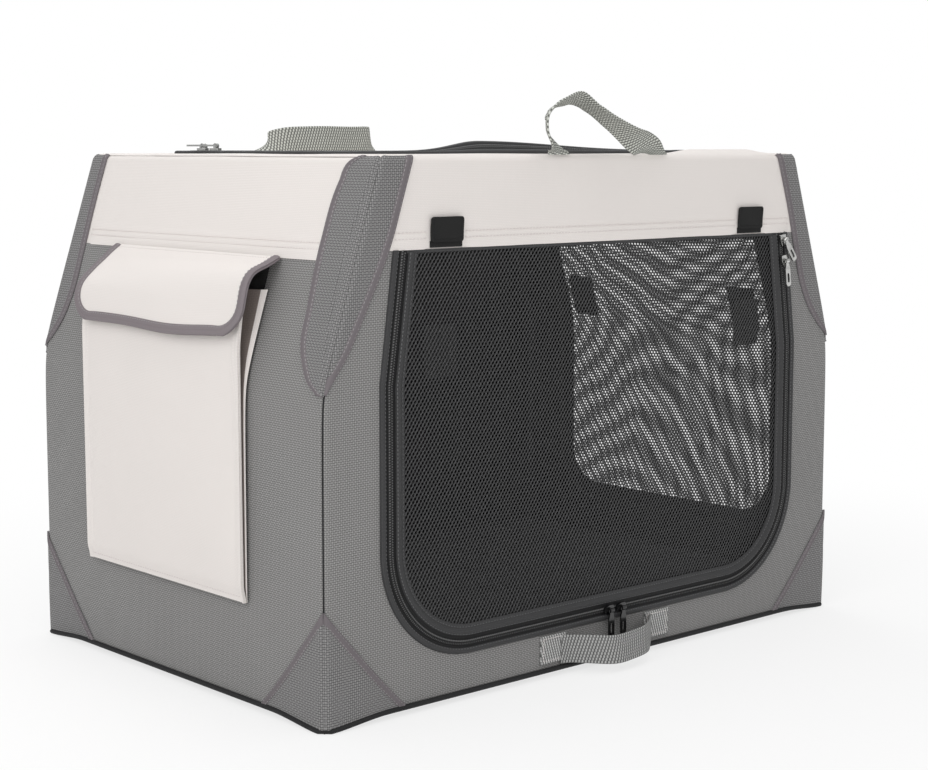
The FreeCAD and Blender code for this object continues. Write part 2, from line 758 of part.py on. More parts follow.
loop_back = -half_depth - fit
loop_path = [(-base_handle_half, loop_back), (-base_handle_shoulder, loop_back - base_handle_bulge),
             (base_handle_shoulder, loop_back - base_handle_bulge), (base_handle_half, loop_back)]
loop_radii = [0, base_handle_radius, base_handle_radius, 0]
loop_corners, loop_turns = strip(loop_path[::-1], loop_radii, webbing_thickness)
loop_cut = along_z(rectangle(length, -depth, loop_back), 0, height)
base_loop = along_z(loop_corners, base_handle_height, base_handle_height + webbing, loop_turns)
nodes["base_handle"] = base_loop.common(loop_cut)
tabs = []
tab_top = base_handle_height + base_tab_height
for side in (-1, 1):
    start = base_handle_half + webbing_thickness + fit
    reach = sorted((side * start, side * (start + base_tab_width)))
    tab = [(reach[0], base_handle_height), (reach[1], base_handle_height),
           (reach[1], tab_top), (reach[0], tab_top)]
    tabs.append(along_y(tab, -half_depth - base_tab_thickness, -half_depth))
nodes["base_handle_tabs"] = Part.makeCompound(tabs)

# Zip sliders: a shouldered plate with a bar on two posts, and a pull that turns on the bar
plate_top = fit + slider_plate
bar_height = plate_top + fit + knuckle_radius


def slider_body(turn):
    shoulder = slider_width / 2
    nose = slider_nose / 2
    back = slider_length / 2
    plan = [(-shoulder, back), (-shoulder, 0), (-nose, -back)]
    plan += [(-u, v) for u, v in plan[::-1]]
    body = along_z(plan, fit, plate_top, [slider_round] * len(plan))
    post_middle = knuckle_width / 2 + fit + post_width / 2
    crown = Part.makeCylinder(bar_radius, 2 * post_middle, V(-post_middle, 0, bar_height), V(1, 0, 0))
    for side in (-1, 1):
        low = side * post_middle - post_width / 2
        post = [(low, -post_depth / 2), (low + post_width, -post_depth / 2),
                (low + post_width, post_depth / 2), (low, post_depth / 2)]
        crown = crown.fuse(along_z(post, plate_top - slider_plate / 2, bar_height + bar_radius))
    crown.rotate(V(0, 0, 0), V(0, 0, 1), turn)
    return body.fuse(crown).removeSplitter()


def slider_pull(turn):
    neck = knuckle_width / 2
    wide = pull_width / 2
    low = bar_height - pull_thickness / 2
    plan = [(-neck, 0), (-neck, -pull_neck + neck), (-wide, -pull_neck - neck), (-wide, -pull_length),
            (wide, -pull_length), (wide, -pull_neck - neck), (neck, -pull_neck + neck), (neck, 0)]
    radii = [0, 0, 0, wide * rounding_share, wide * rounding_share, 0, 0, 0]
    tab = along_z(plan, low, low + pull_thickness, radii)
    slot = rectangle(pull_slot_width / 2, pull_slot_end - pull_length,
                     pull_slot_end + pull_slot_length - pull_length)
    slot_radius = pull_slot_width / 2 * rounding_share
    tab = tab.cut(along_z(slot, low, low + pull_thickness, [slot_radius] * len(slot)))
    axis_start = V(-knuckle_width / 2, 0, bar_height)
    knuckle = Part.makeCylinder(knuckle_radius, knuckle_width, axis_start, V(1, 0, 0))
    bore = Part.makeCylinder(bar_radius + fit, knuckle_width, axis_start, V(1, 0, 0))
    pull = tab.fuse(knuckle).cut(bore).removeSplitter()
    pull.rotate(V(0, 0, 0), V(0, 0, 1), turn)
    return pull


def add_slider(name, origin, out, up, turn):
    place = stand(origin + out * coil_top, out, up)
    nodes[name + "_slider"] = moved(slider_body(turn), place)
    nodes[name + "_pull"] = moved(slider_pull(turn), place)
    axis = V(math.cos(math.radians(turn)), math.sin(math.radians(turn)), 0)
    axis = place.Rotation.multVec(axis)
    pin = place.multVec(V(0, 0, bar_height))
    print(name, "pin", [round(v, 4) for v in pin], "axis", [round(v, 6) for v in axis],
          "run", [round(v, 6) for v in up])


run_top = V(front_door_top_half - coil_middle, -half_depth, front_band_edge)
run_low = V(front_door_side_half - coil_middle, -half_depth, front_door_side_height)
run_up = (run_top - run_low).normalize()
upper_place = run_top - run_up * upper_slider_drop
add_slider("front_upper", upper_place, front_out, run_up, upper_pull_turn)
add_slider("front_lower", upper_place - run_up * slider_spacing, front_out, run_up, 0)
sill = V(sill_slider_middle, -half_depth, front_door_sill + coil_middle)
for name, side in (("sill_left", -1), ("sill_right", 1)):
    place = sill + V(side * sill_slider_spacing / 2, 0, 0)
    add_slider(name, place, front_out, V(1, 0, 0), 90)
roof_run = V(coil_middle - top_door_half, top_door_rear - roof_slider_inset, height)
add_slider("roof_rear", roof_run, upright, V(0, 1, 0), 180)
add_slider("roof_front", roof_run - V(0, slider_spacing, 0), upright, V(0, 1, 0), 180 + upper_pull_turn)
end_run = end_seam + V(0, coil_middle - end_door_half, 0) - end_up * end_slider_drop
add_slider("end_door", end_run, end_out, end_up, 0)

print("front hinge", -half_depth - hinge_out, front_band_edge)
end_hinge = end_seam + end_out * hinge_out
print("end hinge", end_hinge)
print("roof hinge", top_door_rear, height + hinge_out)
print("straps", front_seam + front_out * strap_stand + upright * strap_axis_rise,
      end_seam + end_out * strap_stand + end_up * strap_axis_rise)
print("flap hinge", -flap_start, flap_top)
print("handles", handle_axis_y, handle_axis_height)
print("base loop", loop_back, base_handle_height + webbing)

for name, shape in nodes.items():
    shape.exportStep("parts/" + name + ".step")
    print(name, len(shape.Solids), "solids", round(shape.Volume), "mm3", shape.isValid())
print(len(nodes), "nodes")
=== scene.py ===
import math

import bmesh
import bpy
import numpy as np
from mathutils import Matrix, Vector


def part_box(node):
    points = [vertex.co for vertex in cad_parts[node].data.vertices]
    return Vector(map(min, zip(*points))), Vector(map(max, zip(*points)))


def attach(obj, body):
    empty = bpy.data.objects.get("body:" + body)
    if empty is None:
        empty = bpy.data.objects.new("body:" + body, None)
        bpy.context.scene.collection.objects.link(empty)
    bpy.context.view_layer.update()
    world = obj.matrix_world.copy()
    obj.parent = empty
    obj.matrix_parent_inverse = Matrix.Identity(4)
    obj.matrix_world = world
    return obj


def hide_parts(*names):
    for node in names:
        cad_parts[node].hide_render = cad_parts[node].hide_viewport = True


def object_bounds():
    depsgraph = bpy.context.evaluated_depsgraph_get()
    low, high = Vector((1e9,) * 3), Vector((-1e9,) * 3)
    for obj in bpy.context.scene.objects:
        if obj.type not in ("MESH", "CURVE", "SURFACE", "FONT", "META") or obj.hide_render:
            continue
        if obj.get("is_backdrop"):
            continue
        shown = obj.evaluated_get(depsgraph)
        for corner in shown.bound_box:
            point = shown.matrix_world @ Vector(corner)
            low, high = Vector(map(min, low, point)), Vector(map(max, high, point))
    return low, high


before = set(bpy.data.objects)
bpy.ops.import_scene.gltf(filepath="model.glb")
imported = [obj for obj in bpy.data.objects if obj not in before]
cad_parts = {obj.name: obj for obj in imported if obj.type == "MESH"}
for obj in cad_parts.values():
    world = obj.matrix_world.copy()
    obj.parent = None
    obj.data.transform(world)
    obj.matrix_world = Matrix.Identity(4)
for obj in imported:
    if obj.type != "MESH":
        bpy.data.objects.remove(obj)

cadLow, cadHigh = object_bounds()

# Places on the sewn shell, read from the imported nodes
shell = {
    "bendHeight": 0.298,  # the end walls lean in above this line
    "bendSoft": 0.018,  # how gently the cloth goes over the bent tubes
    "cornerRound": 0.007,
    "seamGroove": 0.0012,  # depth and width of the sewn corner
    "footLift": 0.005,  # the lower edges rise this much between the corners
    "footRun": 0.075,
    "footFade": 0.060,
    "endBow": 0.003,  # plain walls draw in between the tubes
    "crown": 0.0092,  # the top door swells behind its front zip, steeply on the left
    "crownX": -0.125,
    "crownY": -0.178,
    "crownFrom": 0.0265,  # its distances from the front edge
    "crownTo": 0.050,
    "crownLeft": 0.045,
    "crownRight": 0.140,
    "crownDeep": 0.050,
    "rim": 0.0042,  # the roof's border stands up along the right half of the front edge
    "rimX": 0.180,
    "rimY": -0.216,
    "rimHalf": 0.078,
    "rimFade": 0.035,
    "rimDeep": 0.0095,
    "rimEdge": 0.012,
}


def boxCorners(node):  # lower and upper corner of a node's box
    return (np.array(corner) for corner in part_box(node))


wallLow, wallHigh = boxCorners("front_wall")
halfLength, frontFace, frontSeam = wallHigh[0], wallLow[1], wallHigh[2]
halfDepth = -frontFace
halfRoof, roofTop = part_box("roof_panel")[1].x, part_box("roof_panel")[1].z
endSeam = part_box("left_wall")[1].z
lean = (halfLength - halfRoof) / (roofTop - shell["bendHeight"])


def smooth(t):  # 0 to 1 with level ends
    t = np.clip(t, 0, 1)
    return t * t * (3 - 2 * t)


def ripple(a, b, seed, length):  # sum of five waves of unlike direction and length, within about 1
    draw = np.random.default_rng(seed)
    total = 0
    for turn, stretch, phase in zip(*draw.uniform([[0], [0.6], [0]], [[3.1], [1.8], [6.2]], (3, 5))):
        total = total + np.sin((a * np.cos(turn) + b * np.sin(turn)) * 6.28 / (length * stretch) + phase)
    return total / 4


def curveThrough(t, knots, values):  # cubic through the values, with slopes from their neighbours
    knots, values = np.asarray(knots, float), np.asarray(values, float)
    slope = np.gradient(values, knots, axis=0)
    i = np.clip(np.searchsorted(knots, t, side="right") - 1, 0, len(knots) - 2)
    step = knots[i + 1] - knots[i]
    s = (t - knots[i]) / step
    if values.ndim > 1:
        s, step = s[..., None], step[..., None]
    start = (1 + 2 * s) * (1 - s) ** 2 * values[i] + s * (1 - s) ** 2 * step * slope[i]
    return start + s * s * (3 - 2 * s) * values[i + 1] + s * s * (s - 1) * step * slope[i + 1]


def endReach(height):  # half length of the shell at a height: upright, then leaning in
    rise = height - shell["bendHeight"]
    return halfLength - lean / 2 * (rise + np.hypot(rise, shell["bendSoft"]))


def lengthAlong(line):  # distance from a line's start to each of its points
    return np.concatenate([[0], np.cumsum(np.linalg.norm(np.diff(line, axis=0), axis=1))])


def unit(way):  # the same way with a length of 1
    return way / np.linalg.norm(way, axis=-1, keepdims=True)


def halfWidth(face, height):  # half of a face's width at a height up its cloth
    if face in ("front", "rear"):
        return endReach(height)
    return (halfRoof if face == "roof" else halfDepth) + 0 * height


def rolled(place, out, limit):  # the last cornerRound of a face turns an eighth of a circle
    radius = shell["cornerRound"]
    turn = np.clip((np.abs(place) - limit + radius) / radius, 0, 1) * math.pi / 4
    far = np.sign(place) * (limit - radius + (radius + out) * np.sin(turn))
    return np.where(turn > 0, far, place), np.where(turn > 0, (radius + out) * np.cos(turn) - radius, out)


def onFace(face):
    # A point of the shell: across runs to the right seen from outside, height up the cloth, out off it.
    def roofPlace(across, height, out=0.0):
        across, height, out = np.broadcast_arrays(across, height, np.asarray(out, float))
        reach = np.where(across < shell["crownX"], shell["crownLeft"], shell["crownRight"])
        swell = np.exp(-((across - shell["crownX"]) / reach) ** 2
                       - ((height - shell["crownY"]) / shell["crownDeep"]) ** 2)
        inside = halfDepth - np.abs(height)
        edge = smooth((inside - shell["crownFrom"]) / (shell["crownTo"] - shell["crownFrom"]))
        rim = smooth((shell["rimHalf"] - np.abs(across - shell["rimX"])) / shell["rimFade"])
        rim = rim * smooth(inside / shell["rimEdge"])
        rim = rim * np.exp(-((height - shell["rimY"]) / shell["rimDeep"]) ** 2)
        out = out + shell["crown"] * swell * edge + shell["rim"] * rim
        across, out = rolled(across, out, halfRoof)
        height, out = rolled(height, out, halfDepth)
        return np.stack([across, height, roofTop + out], -1)

    def sidePlace(across, height, out=0.0):
        across, height, out = np.broadcast_arrays(across, height, np.asarray(out, float))
        half = halfWidth(face, height)
        gap = half - np.abs(across)
        if face in ("left", "rear"):
            bow = np.clip(1 - (across / half) ** 2, 0, 1) * np.sin(math.pi * np.clip(height / roofTop, 0, 1))
            out = out - shell["endBow"] * bow
        fade = (1 - np.clip(height / shell["footFade"], 0, 1)) ** 2
        height = height + shell["footLift"] * smooth(gap / shell["footRun"]) * fade
        height, out = rolled(height, out, roofTop)
        across, out = rolled(across, out, half)
        if face in ("front", "rear"):
            side = 1 if face == "front" else -1
            return np.stack([side * across, side * (frontFace - out), height], -1)
        rise = height - shell["bendHeight"]
        slope = lean / 2 * (1 + rise / np.hypot(rise, shell["bendSoft"]))
        tilt = np.hypot(1, slope)
        side = 1 if face == "right" else -1
        x = side * (endReach(height) + out / tilt)
        return np.stack([x, side * across, height + out * slope / tilt], -1)

    return roofPlace if face == "roof" else sidePlace


faces = {name: onFace(name) for name in ("front", "rear", "left", "right", "roof")}


# Shader maths: a term is one socket, and arithmetic on it adds Math nodes
class Term:
    def __init__(self, look, socket):
        self.look, self.socket = look, socket

    def math(self, operation, *others):
        return self.look.math(operation, self, *others)

    def __add__(self, other):
        return self.math("ADD", other)

    def __mul__(self, other):
        return self.math("MULTIPLY", other)

    def __sub__(self, other):
        return self.math("SUBTRACT", other)

    def __rsub__(self, other):
        return self.look.math("SUBTRACT", other, self)

    def __truediv__(self, other):
        return self.math("DIVIDE", other)

    __radd__ = __add__
    __rmul__ = __mul__


class Look:  # a material's or a world's nodes, and the fixed values of its shader
    def __init__(self, owner, fixed=None, shader="Principled BSDF"):
        owner.use_nodes = True
        self.owner, self.tree = owner, owner.node_tree
        self.shader = self.tree.nodes[shader]
        for socket, value in (fixed or {}).items():
            self.shader.inputs[socket].default_value = value

    def feed(self, socket, item):
        item = item.socket if isinstance(item, Term) else item
        if isinstance(item, bpy.types.NodeSocket):
            self.tree.links.new(item, socket)
        else:
            socket.default_value = item

    def node(self, kind, settings=None, inputs=None):  # settings first, then values or links of the sockets
        node = self.tree.nodes.new("ShaderNode" + kind)
        for name, value in (settings or {}).items():
            setattr(node, name, value)
        for name, item in (inputs or {}).items():
            self.feed(node.inputs[name], item)
        return node

    def math(self, operation, *items):
        return Term(self, self.node("Math", {"operation": operation}, dict(enumerate(items))).outputs[0])

    def axes(self):  # metres along the cloth
        uv = self.node("UVMap", {"uv_map": "cloth"})
        split = self.node("SeparateXYZ", inputs={0: uv.outputs[0]})
        return Term(self, split.outputs[0]), Term(self, split.outputs[1])

    def noise(self, scale, detail, along="UV"):
        place = self.node("UVMap", {"uv_map": "cloth"}) if along == "UV" else self.node("TexCoord")
        inputs = {"Vector": place.outputs[0 if along == "UV" else "Object"], "Scale": scale, "Detail": detail}
        return Term(self, self.node("TexNoise", inputs=inputs).outputs[0])

    def step(self, value, low, high):
        inputs = {"Value": value, "From Min": low, "From Max": high}
        return Term(self, self.node("MapRange", {"interpolation_type": "SMOOTHSTEP"}, inputs).outputs[0])

    def mix(self, share, first, second):
        return self.node("Mix", {"data_type": "RGBA"}, {0: share, 6: first, 7: second}).outputs[2]

    def finish(self, colour, rough, height, depth, alpha=1.0):
        bump = self.node("Bump", inputs={"Strength": 1.0, "Distance": depth, "Height": height})
        fed = {"Base Color": colour, "Roughness": rough, "Alpha": alpha, "Normal": bump.outputs[0]}
        for name, item in fed.items():
            self.feed(self.shader.inputs[name], item)
        return self.owner


def tone(red, green, blue):  # screen levels to the shader's linear colour
    level = np.array([red, green, blue]) / 255
    linear = np.where(level <= 0.04045, level / 12.92, ((level + 0.055) / 1.055) ** 2.4)
    return (*(float(part) for part in linear), 1.0)


def shade(colour, share):  # a colour times a share, at most white
    return (*(min(part * share, 1) for part in colour[:3]), 1.0)


def plainWeave(look, pitch):  # warp over weft in a checker, each yarn round across its own width
    u, v = look.axes()
    warp, weft = ((axis * (math.pi / pitch)).math("SINE") for axis in (u, v))
    over = look.step(warp * weft, -0.3, 0.3)
    return over * warp.math("ABSOLUTE") + (1 - over) * weft.math("ABSOLUTE"), over


def newLook(name, fixed=None):  # a fresh material
    return Look(bpy.data.materials.new(name), fixed)


def clothLook(name, colour, pitch=0.0015, contrast=0.5, rough=0.85, depth=0.00025, mottle=0.10):
    # Lit yarns over a cloudy dye, with loose fibres
    look = newLook(name, {"Specular IOR Level": 0.25, "Sheen Weight": 0.12, "Sheen Roughness": 0.5})
    yarn, over = plainWeave(look, pitch)
    cloudy = look.noise(9.0, 3.0)
    fibre = look.noise(900.0, 1.0)
    light = look.step(yarn * 0.7 + over * 0.2 + fibre * 0.3, 0.15, 1.05)
    low, high = (look.mix(cloudy, shade(colour, level - mottle / 2), shade(colour, level + mottle / 2))
                 for level in (1 - contrast, 1 + contrast / 2))
    return look.finish(look.mix(light, low, high), rough - 0.08 * yarn, yarn + fibre * 0.25, depth)


def ribbedLook(name, colour, acrossPitch, alongPitch, contrast, depth, rough=0.8, shift=0.5):
    # Ribs across the tape that step sideways by a share of a rib from row to row
    look = newLook(name, {"Specular IOR Level": 0.25})
    u, v = look.axes()
    row = (v / acrossPitch).math("FLOOR")
    rib = ((u / alongPitch + row * shift) * (2 * math.pi)).math("SINE") * 0.5 + 0.5
    edge = ((v / acrossPitch) * math.pi).math("SINE").math("ABSOLUTE")
    fibre = look.noise(1200.0, 1.0)
    height = rib * (0.45 + 0.55 * look.step(edge, 0.0, 0.6))
    light = look.step(height * 0.8 + fibre * 0.35, 0.1, 1.0)
    return look.finish(look.mix(light, shade(colour, 1 - contrast), shade(colour, 1 + contrast / 2)),
                       rough - 0.1 * rib, height + fibre * 0.2, depth)


def netLook(name, colour, pitch, rowStep, hole, crooked=0.004):
    # Staggered round holes: the nearest of two crossed lattices decides, and the yarn swells between them
    look = newLook(name, {"Specular IOR Level": 0.35})
    u, v = look.axes()
    u = u + (look.noise(17.0, 1.0) - 0.5) * crooked  # the knit runs a little crooked
    v = v + (look.noise(13.0, 1.0) - 0.5) * crooked

    def lattice(shift):
        a = ((u / pitch + shift).math("FRACT") - 0.5) * pitch
        b = ((v / (2 * rowStep) + shift).math("FRACT") - 0.5) * (2 * rowStep)
        return (a * a + b * b).math("SQRT")

    near = lattice(0.0).math("MINIMUM", lattice(0.5))
    yarn = look.step(near, hole * 0.7, hole * 1.35)
    swell = look.step(near, hole, pitch * 0.55)
    slant = (u / pitch - v / (2 * rowStep)) * (2 * math.pi)
    upper = 0.5 - 0.5 * slant.math("COSINE")  # yarns of one slant lie on top
    glint = look.step(look.noise(420.0, 1.0), 0.45, 0.75)
    # painted highlight: the upper yarns and random glints are lightened in the base colour
    paintedHighlight = look.step(swell * 0.25 + upper * 0.75, 0.25, 1.0) * (0.65 + 0.7 * glint)
    return look.finish(look.mix(paintedHighlight, shade(colour, 0.22), shade(colour, 2.1)), 0.6 - 0.15 * upper,
                       swell * 0.4 + upper, 0.0006, yarn)


def coilLook(name, dark, light):
    # Coil turns: u counts them, v runs from -1 to 1 across, and each half has its own row of lit crowns
    look = newLook(name)
    u, v = look.axes()
    half = v.math("SIGN") * 0.25
    crown = ((u + half) * (2 * math.pi)).math("COSINE") * 0.5 + 0.5
    row = look.step(1 - ((v.math("ABSOLUTE") - 0.5) * 2.2).math("ABSOLUTE"), 0.1, 0.8)
    lit = look.step(crown * row, 0.25, 0.8)
    return look.finish(look.mix(lit, dark, light), 0.5 - 0.2 * lit, crown * row, 0.0004)


def grainLook(name, colour, rough, scale, depth, along="Object", fixed=None):
    # Moulded, coated or felted skin: a fine grain over a broad cloud
    look = newLook(name, fixed)
    grain = look.noise(scale, 4.0, along)
    broad = look.noise(scale / 40, 3.0, along)
    cloudy = look.step(grain * 0.6 + broad * 0.6, 0.35, 0.85)
    mixed = look.mix(cloudy, shade(colour, 0.75), shade(colour, 1.2))
    return look.finish(mixed, look.step(broad, 0.2, 0.8) * 0.16 + (rough - 0.08), grain, depth)


tapeRow = 0.0090  # one row of ribs covers a binding tape
tapeRibs = dict(acrossPitch=tapeRow, alongPitch=0.0007, contrast=0.16, depth=0.0001)
zipRibs = dict(acrossPitch=0.0016, alongPitch=0.0012, contrast=0.5, depth=0.0002, rough=0.6)
pipingRibs = dict(acrossPitch=0.0030, alongPitch=0.0010, contrast=0.4, depth=0.0002, rough=0.7)
topRibs = dict(acrossPitch=0.0030, alongPitch=0.0034, contrast=0.75, depth=0.0007, shift=0.30)
baseRibs = dict(acrossPitch=0.0028, alongPitch=0.0032, contrast=0.75, depth=0.0007, shift=0.25)
greyWeave = dict(contrast=0.85)
paleWeave = dict(depth=0.0001, rough=0.8, contrast=0.07, mottle=0.03)
shadedFoldWeave = dict(depth=0.0001, rough=0.85, contrast=0.2, mottle=0.05)
felt = dict(rough=0.95, scale=1500.0, depth=0.0006, along="UV")
spun = dict(scale=2500.0, depth=0.0001, along="UV")
looks = {
    "grey": clothLook("greyOxford", tone(137, 136, 135), pitch=0.0020, **greyWeave),
    "cream": clothLook("creamOxford", tone(232, 226, 222), **paleWeave),
    # the gusset cloth is darkened: painted shade for the shadow deep in the pocket's folds
    "gusset": clothLook("gussetPaintedShade", tone(122, 112, 107), **shadedFoldWeave),
    "guard": clothLook("guardOxford", tone(125, 124, 124), pitch=0.0023, **greyWeave),
    "lining": clothLook("blackLining", tone(17, 17, 18), contrast=0.3, rough=0.75),
    "tape": ribbedLook("bindingTape", tone(134, 126, 129), **tapeRibs),
    "guardTape": ribbedLook("guardTape", tone(119, 113, 116), **tapeRibs),
    "zip": ribbedLook("zipBinding", tone(68, 68, 69), **zipRibs),
    "zipFlat": ribbedLook("zipTape", tone(30, 30, 31), **zipRibs),
    "coil": coilLook("zipCoil", tone(16, 16, 17), tone(104, 104, 104)),
    "net": netLook("doorNet", tone(54, 54, 55), 0.0044, 0.0031, 0.00112),
    "loop": grainLook("hookAndLoop", tone(26, 26, 26), **felt),
    "pile": grainLook("loopPile", tone(60, 60, 60), **felt),
    "webbing": ribbedLook("greyWebbing", tone(190, 192, 185), **topRibs),
    "baseWebbing": ribbedLook("baseWebbing", tone(166, 166, 165), **baseRibs),
    "tabWebbing": ribbedLook("tabWebbing", tone(186, 186, 185), **baseRibs),
    "thread": grainLook("sewingThread", tone(222, 214, 212), rough=0.7, **spun),
    "greyThread": grainLook("greyThread", tone(152, 148, 149), rough=0.7, **spun),
    "blackThread": grainLook("blackThread", tone(96, 96, 97), rough=0.6, **spun),
    "piping": ribbedLook("blackPiping", tone(40, 40, 41), **pipingRibs),
    "fleece": grainLook("matFleece", tone(20, 20, 21), 0.95, 700.0, 0.0015, "UV", {"Sheen Weight": 0.1}),
    "tube": grainLook("powderCoat", tone(40, 40, 42), 0.45, 500.0, 0.00006),
    "moulding": grainLook("mouldedFitting", tone(34, 34, 36), 0.5, 300.0, 0.0001),
    "board": grainLook("floorBoard", tone(48, 48, 50), 0.6, 160.0, 0.0003),
    "silver": grainLook("platedZinc", tone(205, 205, 203), 0.24, 260.0, 0.00004, fixed={"Metallic": 1.0}),
    "black": grainLook("blackEnamel", tone(14, 14, 15), 0.2, 300.0, 0.00003, fixed={"Coat Weight": 0.6}),
}
print("looks:", len(looks))


def gridNormal(points):  # cross product of the ways along a grid's columns and rows
    across, along = np.gradient(points, axis=1), np.gradient(points, axis=0)
    normal = np.cross(across, along)
    return normal / np.maximum(np.linalg.norm(normal, axis=-1, keepdims=True), 1e-12)


def gridArea(points):  # half the cross product of each cell's diagonals, summed
    first, second = points[1:, 1:] - points[:-1, :-1], points[1:, :-1] - points[:-1, 1:]
    return np.linalg.norm(np.cross(first, second), axis=-1).sum() / 2

thread = {"wide": 0.0009, "high": 0.0007, "taper": 0.9, "probe": 0.0005}  # a stitch, and the step for its ways
leastShare = 0.31  # of its flat size, the least area that build works out for a sheet
joined = {"within": 2e-6, "sharpFrom": 50}  # metres between points that merge, degrees of edges left sharp


class Piece:  # grids of points, gathered into one mesh
    def __init__(self):
        self.points, self.quads, self.corners, self.slots, self.count = [], [], [], [], 0
        self.area = 0.0

    def grid(self, points, uv, slot=0, flip=False):
        shape = points.shape[:-1]
        index = self.count + np.arange(np.prod(shape)).reshape(shape)
        cells = [(slice(None, -1), slice(None, -1)), (slice(None, -1), slice(1, None)),
                 (slice(1, None), slice(1, None)), (slice(1, None), slice(None, -1))]
        quads = np.stack([index[(..., *cell)] for cell in cells], -1).reshape(-1, 4)
        uv = np.broadcast_to(uv, (*shape, 2))
        corners = np.stack([uv[(..., *cell, slice(None))] for cell in cells], -2).reshape(-1, 4, 2)
        self.points.append(points.reshape(-1, 3))
        self.quads.append(quads[:, ::-1] if flip else quads)
        self.corners.append(corners[:, ::-1] if flip else corners)
        self.slots.append(np.full(len(quads), slot))
        self.count += index.size

    def sheet(self, points, uv, thickness, slot=0, back=None, flip=False):
        # A cloth with both faces and its edges: the inner face is the outer one moved in by the thickness
        inner = points - gridNormal(points) * thickness * (-1 if flip else 1)
        back = slot if back is None else back
        self.grid(points, uv, slot, flip)
        self.grid(inner, uv, back, not flip)
        rims = [(inner[0], points[0], uv[0]), (points[-1], inner[-1], uv[-1]),
                (points[:, 0], inner[:, 0], uv[:, 0]), (inner[:, -1], points[:, -1], uv[:, -1])]
        for first, second, rimUv in rims:
            self.grid(np.stack([first, second]), np.stack([rimUv, rimUv]), slot, flip)
        self.area += gridArea(points)

    def stitches(self, place, across, height, out, slot, pitch=0.0042, length=0.0032):
        # A row of low oval domes at equal steps along a line in a face's own coordinates
        across, height = np.broadcast_arrays(across, height)
        line = place(across, height, out)
        run = lengthAlong(line)
        at = np.arange(pitch / 2, run[-1], pitch)
        a, h = np.interp(at, run, across), np.interp(at, run, height)
        o = np.interp(at, run, np.broadcast_to(out, across.shape))
        probe = thread["probe"]
        centre = place(a, h, o)
        up = unit(place(a, h, o + 2 * probe) - centre)
        ahead = unit(np.stack([np.interp(at + probe, run, line[:, k]) - np.interp(at - probe, run, line[:, k])
                               for k in range(3)], -1))
        side = np.cross(up, ahead)
        s, t = np.meshgrid(np.linspace(-1, 1, 5), np.linspace(-1, 1, 4))
        oval = np.sqrt(1 - thread["taper"] * s * s)
        for rise, flip in ((thread["high"], False), (-thread["high"] / 4, True)):
            local = [s * length / 2, t * oval * thread["wide"] / 2, (1 - s * s) * (1 - t * t) * rise]
            points = centre[:, None, None] + sum(part[None, ..., None] * axis[:, None, None]
                                                 for part, axis in zip(local, (ahead, side, up)))
            self.grid(points, np.stack([s, t], -1) * length, slot, flip)

    def build(self, name, materials, body, slot, nodes, flat=None, held="stretched", restsOn=(), fill=None):
        mesh = bpy.data.meshes.new(name)
        points, quads = np.concatenate(self.points), np.concatenate(self.quads)
        mesh.vertices.add(len(points))
        mesh.vertices.foreach_set("co", points.astype(np.float32).ravel())
        mesh.loops.add(quads.size)
        mesh.loops.foreach_set("vertex_index", quads.astype(np.int32).ravel())
        mesh.polygons.add(len(quads))
        mesh.polygons.foreach_set("loop_start", np.arange(0, quads.size, 4, dtype=np.int32))
        mesh.polygons.foreach_set("material_index", np.concatenate(self.slots).astype(np.int32))
        layer = mesh.uv_layers.new(name="cloth")
        layer.uv.foreach_set("vector", np.concatenate(self.corners).astype(np.float32).ravel())
        mesh.update(calc_edges=True)
        merged = bmesh.new()
        merged.from_mesh(mesh)
        bmesh.ops.remove_doubles(merged, verts=merged.verts, dist=joined["within"])
        merged.to_mesh(mesh)
        merged.free()
        mesh.shade_smooth()
        mesh.set_sharp_from_angle(angle=math.radians(joined["sharpFrom"]))
        for key in materials:
            mesh.materials.append(looks[key])
        thing = bpy.data.objects.new(name, mesh)
        bpy.context.scene.collection.objects.link(thing)
        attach(thing, body)
        if nodes:
            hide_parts(*nodes)
        if flat:
            whole = flat[0] * flat[1]
            min(max(self.area, leastShare * whole), whole)
        print("piece", name, len(mesh.polygons), "faces")
        return thing


def paired(*arrays):  # arrays spread to one shape, side by side on a last axis
    return np.stack(np.broadcast_arrays(*arrays), -1)


def edged(count):  # -1 to 1, closer together at both ends
    return -np.cos(np.linspace(0, math.pi, count))


# U-shaped openings: top corners, sides, sill and its two arcs, in a face's own coordinates
topInset = 0.025  # of the top door's sides from the roof's edges
doors = {
    "front": dict(face="front", topHalf=0.270, sideHalf=0.286, sideHeight=0.300, sill=0.043, radius=0.108,
                  top=frontSeam),
    "right": dict(face="right", topHalf=0.184, sideHalf=0.184, sideHeight=0.298, sill=0.064, radius=0.072,
                  top=endSeam),
    "top": dict(face="roof", topHalf=halfRoof - topInset, sideHalf=halfRoof - topInset, sideHeight=-0.042,
                sill=-0.206, radius=0.046, top=0.122),
}
uShape = {"arcPoints": 80, "smoothing": 12, "topGap": 0.0006}


def uPath(door, step):
    # The outline at equal steps, from the top left round to the top right, and its inward side
    turn = np.linspace(math.pi, 1.5 * math.pi, uShape["arcPoints"])
    left = np.concatenate([
        [[-door["topHalf"], door["top"]], [-door["sideHalf"], door["sideHeight"]]],
        np.stack([door["radius"] * np.cos(turn) - door["sideHalf"] + door["radius"],
                  door["radius"] * np.sin(turn) + door["sill"] + door["radius"]], -1)])
    line = np.concatenate([left, left[::-1] * [-1, 1]])
    run = lengthAlong(line)
    at = np.linspace(0, run[-1], int(run[-1] / step) + 1)
    points = np.stack([np.interp(at, run, line[:, k]) for k in range(2)], -1)
    width = uShape["smoothing"]
    way = np.pad(np.gradient(points, axis=0), ((width, width), (0, 0)), mode="edge")
    way = unit(np.stack([np.convolve(way[:, k], np.ones(2 * width + 1), "valid") for k in range(2)], -1))
    return at, points, np.stack([-way[:, 1], way[:, 0]], -1)


